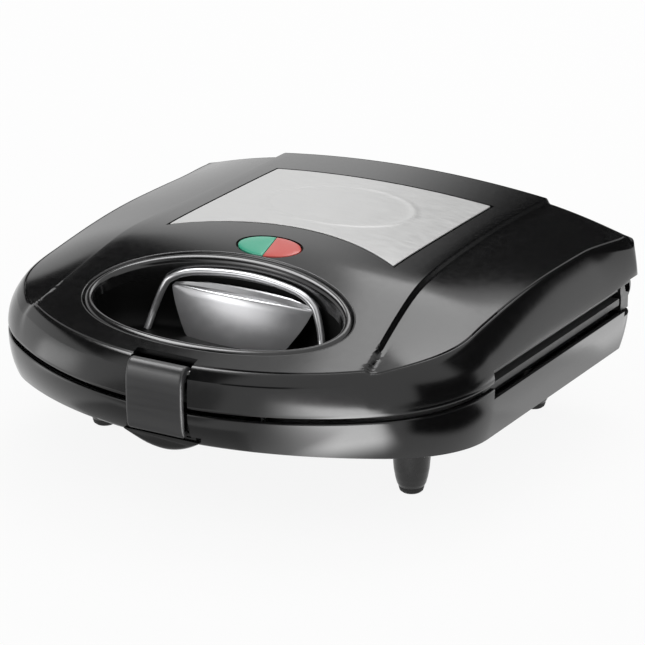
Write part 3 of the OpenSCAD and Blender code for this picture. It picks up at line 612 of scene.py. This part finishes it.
def tube_rings(line, radius, sides=20):
    """Circles round a path, kept from twisting by one steady side direction."""
    rings = []
    for i, spot in enumerate(line):
        ahead = line[min(i + 1, len(line) - 1)] - line[max(i - 1, 0)]
        ahead = ahead / np.linalg.norm(ahead)
        side = np.cross(ahead, (0.0, 1.0, 0.0))
        side = side / np.linalg.norm(side)
        up = np.cross(side, ahead)
        rings.append([spot + radius * (math.cos(a) * side + math.sin(a) * up)
                      for a in np.linspace(0, 2 * math.pi, sides, endpoint=False)])
    return rings


right_bail = np.array([(44.6, -52.2, GRIP_FOOT - 0.3), (43.1, -48.0, 67.0), (39.6, -45.6, 77.2),
                       (36.1, -44.2, 81.7), (28.0, -41.8, 84.9), (14.0, -39.5, 86.5), (0.0, -38.7, 87.0)])
left_bail = right_bail[:-1] * (-1, 1, 1)
bail_line = smooth_path(np.vstack([left_bail, right_bail[::-1]]), 10)
bail = rings_to_piece("grip_bail", tube_rings(bail_line, BAIL_R))
smooth(bail, 60)
grip = joined(panel, bail)
grip.name = grip.data.name = "grip_silver"
measure(grip)

# %% [markdown]
# ## The badge plate
# A thin sheet of brushed steel lies in a shallow bed and follows the lid's crown. It is a fine
# grid whose edge is rolled down, and a plain oval
# ridge is pressed into it. The rest of the sheet is plain.

# %% The badge plate
RIDGE_A, RIDGE_B, RIDGE_Y = 36.7, 26.6, 42.0

plate = badge_slab("badge_sheet", 0.0, -0.6, 0.1, nu=150, nv=110)
spots = np.array([v.co[:] for v in plate.data.vertices]) / MM
high = spots[:, 2] > top_z(spots[:, 0], spots[:, 1]) - 0.2
reach = np.sqrt((spots[:, 0] / RIDGE_A) ** 2 + ((spots[:, 1] - RIDGE_Y) / RIDGE_B) ** 2)
spots[:, 2] += np.where(high, 0.3 * np.exp(-((reach - 1) * 31.0 / 1.6) ** 2), 0)
plate.data.vertices.foreach_set("co", (spots * MM).ravel())
only(plate)
mode("EDIT")
bpy.ops.mesh.select_all(action="DESELECT")
mode("OBJECT")
corner_spots = [np.array(badge_spots(0.0, u, v)) for u in (-1, 1) for v in (0, 1)]
for edge in plate.data.edges:
    a, b = (np.array(plate.data.vertices[i].co) / MM for i in edge.vertices)
    edge.select = any(np.hypot(*(p[:2] - c)) < 0.05 for c in corner_spots for p in (a,)) and any(
        np.hypot(*(b[:2] - c)) < 0.05 for c in corner_spots)
mode("EDIT")
bpy.ops.mesh.select_mode(type="EDGE")
bpy.ops.mesh.bevel(offset=1.6 * MM, segments=4, affect="EDGES")
bpy.ops.mesh.select_mode(type="VERT")
mode("OBJECT")
finish_modifier(plate, "BEVEL", width=0.14 * MM, segments=2, limit_method="ANGLE",
                angle_limit=math.radians(60))
smooth(plate, 30)
measure(plate)

# %% [markdown]
# ## The lamp window
# Two coloured lenses fill one oval and meet on a slanted line, green for power and red for ready.
# Each is a half oval whose rings rise up its side, roll over and close in on a low dome. The
# rings are laid flat first and then tilted together, as the window lies on the lid's slope.

# %% The lenses
LENS_TILT, LENS_LEAN, LENS_DEPTH = math.radians(7.6), math.radians(6.7), 3.2


def lens_half(name, side):
    """Half of the oval window, left for side -1 and right for side 1."""
    arc = np.pi / 2 + LENS_LEAN - side * np.pi * np.linspace(0, 1, 41)
    outline = np.stack([LENS_A * np.cos(arc), LENS_B * np.sin(arc)], axis=1)
    chord = np.linspace(outline[-1], outline[0], 12)[1:-1]
    outline = np.vstack([outline, chord])
    if side > 0:
        outline = outline[::-1]
    middle = outline.mean(axis=0)
    rings = []
    for keep, z in ((0.985, -LENS_DEPTH), (0.985, -0.5), (0.98, -0.12), (0.965, 0.06), (0.93, 0.14),
                    (0.75, 0.32), (0.5, 0.44), (0.25, 0.5), (0.05, 0.52)):
        flat = middle + (outline - middle) * keep
        y, up = flat[:, 1], np.full(len(flat), z)
        rings.append(np.stack([flat[:, 0], LENS_Y + y * math.cos(LENS_TILT) - up * math.sin(LENS_TILT),
                               LENS_Z + y * math.sin(LENS_TILT) + up * math.cos(LENS_TILT)], axis=1))
    lens_piece = rings_to_piece(name, rings)
    smooth(lens_piece, 35)
    return lens_piece


green_lens = lens_half("green_window", -1)
red_lens = lens_half("red_window", 1)
measure(green_lens)

# %% [markdown]
# ## The latch
# The latch is a springy hook: pushed at its foot it swings out on a pin under the lid's rim. Its
# side view is one line with soft corners, so we cut the corners of a short list of points a few
# times, and carry that section across the width with slightly smaller sections at both ends.

# %% The latch
LATCH_W = 28.3
latch_side = np.array([
    (-114.4, 38.7), (-115.8, 40.2), (-116.6, 46), (-116.9, 54), (-116.8, 62), (-116.3, 65.8), (-115, 68.7),
    (-113.2, 70.3), (-111.4, 70.6), (-109.4, 70), (-107.6, 68.7), (-107, 67), (-107.5, 65.4), (-109, 64.4),
    (-112.4, 64), (-113.6, 62.5), (-113.8, 52), (-113.6, 43), (-113.2, 41.6), (-111, 41.6), (-110.7, 40.4),
    (-111.6, 38.7)])


def cut_corners(points, times):
    """Rounds a closed line by cutting each corner off, a few times over."""
    for _ in range(times):
        after = np.roll(points, -1, axis=0)
        points = np.stack([0.75 * points + 0.25 * after, 0.25 * points + 0.75 * after], axis=1).reshape(-1, 2)
    return points


def shrunk(points, by):
    """The closed line moved inward."""
    run = np.roll(points, -1, axis=0) - np.roll(points, 1, axis=0)
    normal = np.stack([-run[:, 1], run[:, 0]], axis=1)
    normal /= np.linalg.norm(normal, axis=1)[:, None]
    area = np.sum(points[:, 0] * np.roll(points[:, 1], -1) - np.roll(points[:, 0], -1) * points[:, 1])
    return points + normal * by * np.sign(area)


soft_side = cut_corners(latch_side, 3)
latch_rings = []
for x, by in ((-0.5, 0.75), (-0.493, 0.4), (-0.482, 0.15), (-0.468, 0.03), (-0.45, 0.0), (-0.25, 0.0),
              (0.0, 0.0), (0.25, 0.0), (0.45, 0.0), (0.468, 0.03), (0.482, 0.15), (0.493, 0.4), (0.5, 0.75)):
    line = shrunk(soft_side, by)
    latch_rings.append(np.stack([np.full(len(line), x * LATCH_W), line[:, 0], line[:, 1]], axis=1))
latch = rings_to_piece("latch_hook", latch_rings)
smooth(latch, 35)
measure(latch)

# %% [markdown]
# ## The base's housing
# The lower moulding mirrors the lid: its walls run down from the parting line, lean in and roll
# under to a flat belly. The skin is a stack of rings again, up the outside, over the edge and
# down the inside. Then the blocks inside it are added, and the slots, vents and holes are cut.

# %% Rings of the base
belly = 34.0 - 4.0 * ease(t_loop / 85)
lean_in = 5.8 - 2.4 * np.clip(np.abs(loop[:, 2]), 0, 1)
lip_low = parting(t_loop) - 1.2
BASE_WALL, BELLY_Z = 2.4, 22.0
flat_in = 38.0 - 16.0 * ease((t_loop - 30) / 70)            # the flat belly starts well behind the front edge
under = [(flat_in, BELLY_Z), (16, belly - 3.2), (lean_in + 2, belly), (lean_in + 0.9, belly + 0.25)]
for s in (1.0, 0.93, 0.84, 0.72, 0.58, 0.44, 0.3, 0.16, 0.06):
    under.append((lean_in * s ** 2.2, belly + 0.7 + (lip_low - belly - 0.7) * (1 - s)))
under += [(0.02, lip_low - 0.5), (0.15, lip_low - 0.12), (0.45, lip_low), (BASE_WALL - 0.3, lip_low),
          (BASE_WALL, lip_low - 0.3)]
for s in (0.3, 0.7, 1.0):
    under.append((lean_in * s ** 2.2 + BASE_WALL, belly + 3 + (lip_low - belly - 3) * (1 - s)))
under += [(19, belly - 0.4), (flat_in + 1, BELLY_Z + BASE_WALL)]
base = rings_to_piece("base_housing", [ring(inset, z, BASE_REAR_R) for inset, z in under])
measure(base)

# %% The base's blocks and openings
POST_X, POST_Y = 104.5, (-22.5, 90.5)


def post(x, y, z0, z1, radius, name="post"):
    """An upright round post or drill."""
    bpy.ops.object.select_all(action="DESELECT")
    bpy.ops.mesh.primitive_cylinder_add(vertices=32, radius=radius * MM, depth=(z1 - z0) * MM,
                                        location=(x * MM, y * MM, (z0 + z1) / 2 * MM))
    bpy.context.object.name = name
    return bpy.context.object


def add_to(piece, tool):
    """Melts a block into a piece."""
    finish_modifier(piece, "BOOLEAN", operation="UNION", solver="EXACT", object=tool)
    bpy.data.objects.remove(tool, do_unlink=True)


add_to(base, block((-17.7, -110.8, 37.6), (17.7, -107, 49.6)))
add_to(base, block((-107, 101.4, 30.5), (107, 107, 33)))
for sx in (-1, 1):
    for y in POST_Y:
        add_to(base, post(sx * POST_X, y, 30.5, 46, 4.5))
        cut_away(base, post(sx * POST_X, y, 10, 32, 3.0))
        cut_away(base, post(sx * POST_X, y, 10, 60, 1.6))
    cut_away(base, block((min(sx * 114, sx * 130), -32.6, 50), (max(sx * 114, sx * 130), 101, 80)))
cut_away(base, block((-130, 96.5, 47.5), (130, 130, 80)))
cut_away(base, block((-NOTCH, -130, 38.2), (NOTCH, -112.6, 80)))
cut_away(base, block((-NOTCH, -130, 38.2), (NOTCH, -110.1, 42.2)))
for i in range(-4, 5):
    cut_away(base, block((i * 9 - 2, 25, 10), (i * 9 + 2, 65, 30)))
hole = post(62, 0, -5, 5, 7.0)
hole.rotation_euler = (math.radians(90), 0, 0)
hole.location = (62 * MM, 111 * MM, 38.6 * MM)
bpy.ops.object.transform_apply(location=True, rotation=True, scale=True)
cut_away(base, hole)
measure(base)

# %% [markdown]
# Under the latch the base swells to a small rounded chin, which gives the thumb something to
# push against. It is a short barrel lying along the toaster, its front edge rounded off.

# %% The chin
CHIN_HALF, CHIN_LOW, CHIN_TOP = 19.0, 29.0, 36.5


def chin_ring(y, keep):
    """One slice of the chin, swelled down by its share."""
    x = np.linspace(-CHIN_HALF, CHIN_HALF, 61)
    swell = np.clip(np.cos(x / CHIN_HALF * math.pi / 2), 0, 1) ** 0.8
    z = CHIN_TOP - (CHIN_TOP - CHIN_LOW) * keep * swell - 0.3
    return np.stack([np.append(x, [x[-1], x[0]]), np.full(63, y), np.append(z, [CHIN_TOP, CHIN_TOP])], axis=1)


chin_steps = ((-95.5, 0.8), (-98, 0.95), (-101, 1.0), (-104, 1.0), (-106.5, 0.97), (-108.5, 0.9),
              (-109.8, 0.8), (-110.6, 0.66), (-111.0, 0.5))
chin = rings_to_piece("chin", [chin_ring(y, keep) for y, keep in chin_steps])
base = joined(base, chin)
smooth(base, 28)
measure(base)

# %% [markdown]
# ## Finishes
# Every finish is a small node tree on the object's own coordinates, so that it stays with its
# piece in any pose. One helper lays a noise over two close colours, lets the gloss wander a
# little with it, and adds a fine bump. Values that are the same all over go straight on the
# shader. The differences between plastics are mostly in their gloss and the size of their grain.

# %% Finish helper


def finish(name, dark, light, roughness, spread=0.03, grain=400.0, bump=0.05, bump_mm=0.02, stretch=(1, 1, 1),
           detail=3.0, **plain):
    """A material with a grain: two colours, a roughness that wanders by the spread, and a fine bump."""
    made = bpy.data.materials.new(name)
    made.use_nodes = True
    nodes, links = made.node_tree.nodes, made.node_tree.links
    shader = nodes["Principled BSDF"]
    place = nodes.new("ShaderNodeTexCoord")
    turn = nodes.new("ShaderNodeMapping")
    turn.inputs["Scale"].default_value = stretch
    links.new(place.outputs["Object"], turn.inputs["Vector"])
    noise = nodes.new("ShaderNodeTexNoise")
    noise.inputs["Scale"].default_value = grain
    noise.inputs["Detail"].default_value = detail
    links.new(turn.outputs["Vector"], noise.inputs["Vector"])
    mix = nodes.new("ShaderNodeMix")
    mix.data_type = "RGBA"
    mix.inputs["A"].default_value = (*dark, 1)
    mix.inputs["B"].default_value = (*light, 1)
    links.new(noise.outputs["Fac"], mix.inputs["Factor"])
    links.new(mix.outputs["Result"], shader.inputs["Base Color"])
    gloss = nodes.new("ShaderNodeMapRange")
    gloss.inputs["From Min"].default_value = 0.3
    gloss.inputs["From Max"].default_value = 0.7
    gloss.inputs["To Min"].default_value = roughness - spread
    gloss.inputs["To Max"].default_value = roughness + spread
    links.new(noise.outputs["Fac"], gloss.inputs["Value"])
    links.new(gloss.outputs["Result"], shader.inputs["Roughness"])
    relief = nodes.new("ShaderNodeBump")
    relief.inputs["Strength"].default_value = bump
    relief.inputs["Distance"].default_value = bump_mm * MM
    links.new(noise.outputs["Fac"], relief.inputs["Height"])
    links.new(relief.outputs["Normal"], shader.inputs["Normal"])
    for socket, value in plain.items():
        shader.inputs[socket.replace("_", " ")].default_value = value
    return made


# %% Plastics
black_gloss = finish("black_gloss", (0.004, 0.004, 0.0042), (0.006, 0.006, 0.0062), 0.16, 0.015, 300, 0.005,
                     IOR=1.5)
# Painted sheen: the rim is the housing's black gloss made a little lighter and more reflective, so its bead
# shines brighter than the lid around it.
rim_gloss_painted_sheen = finish("rim_gloss_painted_sheen", (0.005, 0.005, 0.0052), (0.008, 0.008, 0.0082), 0.16, 0.015, 300, 0.005,
                   IOR=1.6)
# Painted shade: the finger well's black plastic is made darker and almost without reflection, so the deep
# recess under the grip reads as shaded.
well_black_painted_shade = finish("well_black_painted_shade", (0.0015, 0.0015, 0.0015), (0.003, 0.003, 0.003), 0.45, 0.05, 900, 0.1,
                    Specular_IOR_Level=0.1)
latch_satin = finish("latch_satin", (0.022, 0.022, 0.023), (0.034, 0.034, 0.035), 0.33, 0.06, 220, 0.12,
                     stretch=(0.12, 1, 1.6), detail=5, IOR=1.55)
foot_black = finish("foot_black", (0.006, 0.006, 0.006), (0.010, 0.010, 0.010), 0.3, 0.04, 500, 0.06, IOR=1.5)
frame_grey = finish("frame_grey", (0.040, 0.040, 0.040), (0.075, 0.075, 0.075), 0.5, 0.08, 1600, 0.5, 0.05)
hinge_black = finish("hinge_black", (0.010, 0.010, 0.010), (0.016, 0.016, 0.016), 0.42, 0.05, 700, 0.15)
pad_rubber = finish("pad_rubber", (0.008, 0.008, 0.008), (0.016, 0.016, 0.016), 0.75, 0.08, 1200, 0.4, 0.05)
ceramic_cream = finish("ceramic_cream", (0.72, 0.69, 0.61), (0.80, 0.77, 0.70), 0.55, 0.08, 250, 0.2, 0.05)
green_tint = finish("green_tint", (0.045, 0.42, 0.26), (0.060, 0.47, 0.30), 0.22, 0.03, 500, 0.1,
                    stretch=(6, 1, 1), IOR=1.49)
red_tint = finish("red_tint", (0.64, 0.085, 0.070), (0.71, 0.105, 0.085), 0.22, 0.03, 500, 0.1,
                  stretch=(6, 1, 1), IOR=1.49)
lamp_clear = finish("lamp_clear", (0.85, 0.62, 0.45), (0.92, 0.72, 0.56), 0.1, 0.02, 300, 0.02,
                    Transmission_Weight=0.6, IOR=1.47)

# %% Metals and others
grip_satin = finish("grip_satin", (0.48, 0.48, 0.49), (0.53, 0.53, 0.54), 0.24, 0.02, 250, 0.01, Metallic=0.7)
brushed_steel = finish("brushed_steel", (0.54, 0.54, 0.535), (0.64, 0.64, 0.635), 0.36, 0.05, 900, 0.03, 0.02,
                       stretch=(0.12, 1, 1), detail=6, Metallic=0.5)
coated_cast = finish("coated_cast", (0.016, 0.016, 0.017), (0.040, 0.040, 0.042), 0.4, 0.07, 1400, 0.35, 0.04)
heater_sheath = finish("heater_sheath", (0.16, 0.13, 0.11), (0.32, 0.29, 0.27), 0.42, 0.1, 160, 0.2, 0.05,
                       stretch=(1, 1, 3), Metallic=1.0)
shield_sheet = finish("shield_sheet", (0.55, 0.55, 0.56), (0.68, 0.68, 0.69), 0.35, 0.07, 500, 0.15, 0.03,
                      stretch=(0.1, 1, 1), Metallic=1.0)
plated_steel = finish("plated_steel", (0.55, 0.55, 0.54), (0.68, 0.68, 0.67), 0.28, 0.06, 900, 0.12, 0.02,
                      Metallic=1.0)
glass_braid = finish("glass_braid", (0.55, 0.51, 0.42), (0.80, 0.77, 0.68), 0.8, 0.08, 1500, 0.8, 0.15,
                     stretch=(1, 1, 1), detail=1)

# %% [markdown]
# Now each piece is dressed, tied to the body it moves with, and takes the place of its CAD
# solid. The solids whose shape is already right stay, and only get their finish.

# %% Dressing the pieces


def dress(piece, material, body, slot, *nodes):
    """Gives a piece its finish and its body, and retires the solids it stands for; the slot it is given is
    not used.
    """
    piece.data.materials.clear()
    piece.data.materials.append(material)
    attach(piece, body)
    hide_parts(*nodes)


dress(lid, black_gloss, "lid", "housing", "lid_shell")
dress(rim, rim_gloss_painted_sheen, "lid", "housing")
dress(well, well_black_painted_shade, "lid", "well_plastic", "finger_well")
dress(grip, grip_satin, "lid", "grip", "handle_grip")
dress(plate, brushed_steel, "lid", "stainless", "badge_plate")
dress(green_lens, green_tint, "lid", "green_lens", "power_lens")
dress(red_lens, red_tint, "lid", "red_lens", "ready_lens")
dress(base, black_gloss, "base", "housing", "base_shell")
dress(latch, latch_satin, "latch", "latch_plastic", "latch")

# %% Finishes of the solids that stay
carried = {
    frame_grey: ("base_frame", "lid_frame"),
    coated_cast: ("lower_cooking_plate", "upper_cooking_plate"),
    heater_sheath: ("lower_heating_element", "upper_heating_element"),
    shield_sheet: ("lower_heat_shield", "upper_heat_shield"),
    plated_steel: ("lower_plate_screws", "upper_plate_screws", "base_screws", "lid_screws", "hinge_pins",
                   "latch_pin"),
    foot_black: ("front_left_foot", "front_right_foot", "rear_left_foot", "rear_right_foot", "cord_gland"),
    pad_rubber: ("foot_pads",),
    hinge_black: ("hinge_blocks", "hinge_bar", "rear_spine"),
    ceramic_cream: ("terminal_block", "thermostat", "thermal_fuse", "cord_clamp", "lamp_holder"),
    glass_braid: ("base_leads", "lid_leads"),
    lamp_clear: ("neon_lamps",),
}
for material, names in carried.items():
    for name in names:
        node = frame["nodes"][name]
        node.data.materials.clear()
        node.data.materials.append(material)
print(sum(len(names) for names in carried.values()), "solids keep their shape")

# %% [markdown]
# ## The studio
# Black gloss shows the room more than itself. The toaster stands on a white floor in a white
# room, under one soft lamp high behind it that lights the front of the lid. The rest is drawn by
# cards that only reflections see, with soft edges, so that the gloss runs from grey to black.
# Cards in the sky darken the rear, the left of the lid and the front corner, and light the
# oval rim and the grip. Cards on the floor do the same for the upright walls.

# %% The room and the floor


def room_world():
    """A white room for what is seen and mirrored, and a softer one for the light on things."""
    world = bpy.data.worlds.new("studio")
    bpy.context.scene.world = world
    world.use_nodes = True
    nodes, links = world.node_tree.nodes, world.node_tree.links
    nodes.clear()
    out = nodes.new("ShaderNodeOutputWorld")
    mix = nodes.new("ShaderNodeMixShader")
    light, white = nodes.new("ShaderNodeBackground"), nodes.new("ShaderNodeBackground")
    light.inputs["Color"].default_value = (1, 1, 1, 1)
    light.inputs["Strength"].default_value = 0.74
    white.inputs["Color"].default_value = (1, 1, 1, 1)
    white.inputs["Strength"].default_value = 1.0
    links.new(seen_rays(nodes, links), mix.inputs["Fac"])
    links.new(light.outputs["Background"], mix.inputs[1])
    links.new(white.outputs["Background"], mix.inputs[2])
    links.new(mix.outputs["Shader"], out.inputs["Surface"])


def seen_rays(nodes, links):
    """1 for camera, glossy and transmission rays, 0 for the light that falls on things."""
    path = nodes.new("ShaderNodeLightPath")
    first = nodes.new("ShaderNodeMath")
    first.operation = "MAXIMUM"
    links.new(path.outputs["Is Camera Ray"], first.inputs[0])
    links.new(path.outputs["Is Glossy Ray"], first.inputs[1])
    both = nodes.new("ShaderNodeMath")
    both.operation = "MAXIMUM"
    links.new(first.outputs["Value"], both.inputs[0])
    links.new(path.outputs["Is Transmission Ray"], both.inputs[1])
    return both.outputs["Value"]


def floor_finish():
    """A white floor that keeps the toaster's shadow."""
    made = bpy.data.materials.new("white_floor")
    made.use_nodes = True
    nodes, links = made.node_tree.nodes, made.node_tree.links
    nodes.clear()
    out = nodes.new("ShaderNodeOutputMaterial")
    lit, glow = nodes.new("ShaderNodeBsdfDiffuse"), nodes.new("ShaderNodeEmission")
    mix = nodes.new("ShaderNodeMixShader")
    lit.inputs["Color"].default_value = (0.9, 0.9, 0.9, 1)
    glow.inputs["Strength"].default_value = 1.0
    share = nodes.new("ShaderNodeMath")
    share.operation = "MULTIPLY"
    share.inputs[1].default_value = 0.9
    links.new(seen_rays(nodes, links), share.inputs[0])
    links.new(share.outputs["Value"], mix.inputs["Fac"])
    links.new(lit.outputs["BSDF"], mix.inputs[1])
    links.new(glow.outputs["Emission"], mix.inputs[2])
    links.new(mix.outputs["Shader"], out.inputs["Surface"])
    return made


room_world()
bpy.ops.mesh.primitive_plane_add(size=14.0, location=(0, 0, 0))
floor = bpy.context.object
floor.name = "floor"
floor.data.materials.append(floor_finish())

# %% Lamps and cards


def direction(azimuth_deg, elevation_deg):
    """Unit vector: azimuth 0 is straight behind the toaster, positive to its right."""
    a, e = math.radians(azimuth_deg), math.radians(elevation_deg)
    return Vector((math.sin(a) * math.cos(e), math.cos(a) * math.cos(e), math.sin(e)))


def soft_lamp(name, azimuth_deg, elevation_deg, away, width, height, radiance):
    """A rectangular lamp that faces the toaster; its power follows from the brightness of its face."""
    lamp = bpy.data.lights.new(name, "AREA")
    lamp.shape, lamp.size, lamp.size_y = "RECTANGLE", width, height
    lamp.energy = radiance * math.pi * width * height
    holder = bpy.data.objects.new(name, lamp)
    bpy.context.scene.collection.objects.link(holder)
    way = direction(azimuth_deg, elevation_deg)
    holder.location = Vector((0, 0, 0.06)) + way * away
    holder.rotation_euler = way.to_track_quat("Z", "Y").to_euler()
    return holder


def soft_share(nodes, links, coordinate, width):
    """0 at both ends of a card's own coordinate, rising to 1 over the width."""
    near_edge = nodes.new("ShaderNodeMath")
    near_edge.operation = "PINGPONG"
    near_edge.inputs[1].default_value = 0.5
    links.new(coordinate, near_edge.inputs[0])
    rise = nodes.new("ShaderNodeMapRange")
    rise.interpolation_type = "SMOOTHSTEP"
    rise.inputs["From Max"].default_value = width
    links.new(near_edge.outputs["Value"], rise.inputs["Value"])
    return rise.outputs["Result"]


def card(name, corners, strength, soft_x, soft_y):
    """A strip of quads that only reflections see, with a plain glow from 0, black, and soft edges."""
    made = bpy.data.materials.new(name)
    made.use_nodes = True
    nodes, links = made.node_tree.nodes, made.node_tree.links
    nodes.clear()
    out, glow = nodes.new("ShaderNodeOutputMaterial"), nodes.new("ShaderNodeEmission")
    clear, mix = nodes.new("ShaderNodeBsdfTransparent"), nodes.new("ShaderNodeMixShader")
    place, split, both = (nodes.new("ShaderNode" + kind) for kind in ("TexCoord", "SeparateXYZ", "Math"))
    glow.inputs["Strength"].default_value = strength
    both.operation = "MULTIPLY"
    links.new(place.outputs["UV"], split.inputs["Vector"])
    links.new(soft_share(nodes, links, split.outputs["X"], soft_x), both.inputs[0])
    links.new(soft_share(nodes, links, split.outputs["Y"], soft_y), both.inputs[1])
    links.new(both.outputs["Value"], mix.inputs["Fac"])
    links.new(clear.outputs["BSDF"], mix.inputs[1])
    links.new(glow.outputs["Emission"], mix.inputs[2])
    links.new(mix.outputs["Shader"], out.inputs["Surface"])
    mesh = bpy.data.meshes.new(name)
    mesh.from_pydata(corners, [], [tuple(range(i, i + 4)) for i in range(0, len(corners), 4)])
    quads = len(corners) // 4
    places = mesh.uv_layers.new(name="place").data
    for i in range(quads):
        left, right = i / quads, (i + 1) / quads
        for j, spot in enumerate(((left, 0), (right, 0), (right, 1), (left, 1))):
            places[4 * i + j].uv = spot
    thing = bpy.data.objects.new(name, mesh)
    bpy.context.scene.collection.objects.link(thing)
    mesh.materials.append(made)
    thing.visible_camera = thing.visible_diffuse = thing.visible_shadow = False
    thing.visible_transmission = False
    return thing


soft_lamp("overhead_box", -13.5, 56, 1.7, 0.75, 0.8, 3.0)


def sky_card(name, first, last, low, high, strength, soft_x=0.12, soft_y=0.12, away=1.5):
    """A curved card round the toaster between two azimuths and two elevations."""
    corners = []
    folds = np.linspace(first, last, 2 + int((last - first) / 10))
    for a, b in zip(folds[:-1], folds[1:]):
        corners += [direction(*at) * away for at in ((a, low), (b, low), (b, high), (a, high))]
    card(name, corners, strength, soft_x, soft_y)


def floor_card(name, corners, strength, soft_x=0.12, soft_y=0.12):
    """A card lying on the floor: four corners in metres."""
    card(name, [(x, y, 0.001) for x, y in corners], strength, soft_x, soft_y)


sky_card("dark_rear", -30, 78, 15, 40, 0.0)
sky_card("dark_left", -130, -40, 28, 54, 0.0)
sky_card("rim_light", -130, -60, 48, 76, 9.0, 0.2, 0.2, 1.45)
sky_card("dark_left_front", -168, -137, 30, 60, 0.0)
sky_card("grip_light", -168, -136, -3, 24, 2.1, 0.3)
sky_card("latch_glint", -157, -133, 10, 31, 6.0, 0.35, 0.45, 1.42)
sky_card("grip_shade", -198, -167, -3, 42, 0.05)
sky_card("corner_shade", 57, 115, -4, 24, 0.0)
floor_card("dark_mat", [(0.150, -0.11), (0.34, -0.22), (0.34, 0.04), (0.164, 0.04)], 0.0)
floor_card("far_dark_mat", [(0.34, -0.35), (1.4, -0.8), (1.4, 1.15), (0.34, 0.12)], 0.0, 0.05)
floor_card("side_mat", [(0.12, 0.04), (0.32, 0.04), (0.32, 0.15), (0.12, 0.15)], 1.2)
floor_card("rear_side_mat", [(0.12, 0.12), (0.36, 0.12), (0.36, 0.36), (0.12, 0.36)], 2.6)
floor_card("front_mat", [(0.030, -0.085), (0.131, -0.085), (0.34, -0.36), (0.062, -0.36)], 11.0, 0.38)
floor_card("left_mat", [(-0.15, -0.16), (-0.17, -0.07), (-0.42, -0.13), (-0.28, -0.26)], 2.4, 0.25, 0.3)
floor_card("latch_mat", [(-0.165, -0.165), (-0.165, -0.42), (0.01, -0.42), (0.01, -0.165)], 0.4)
floor_card("chin_mat", [(-0.10, -0.085), (-0.10, -0.164), (0.044, -0.164), (0.044, -0.085)], 0.45)

# %% [markdown]
# ## The view transform
# The dressed model must stay inside the CAD model's box.

# %% Colour view
bpy.context.scene.view_settings.view_transform = "Standard"
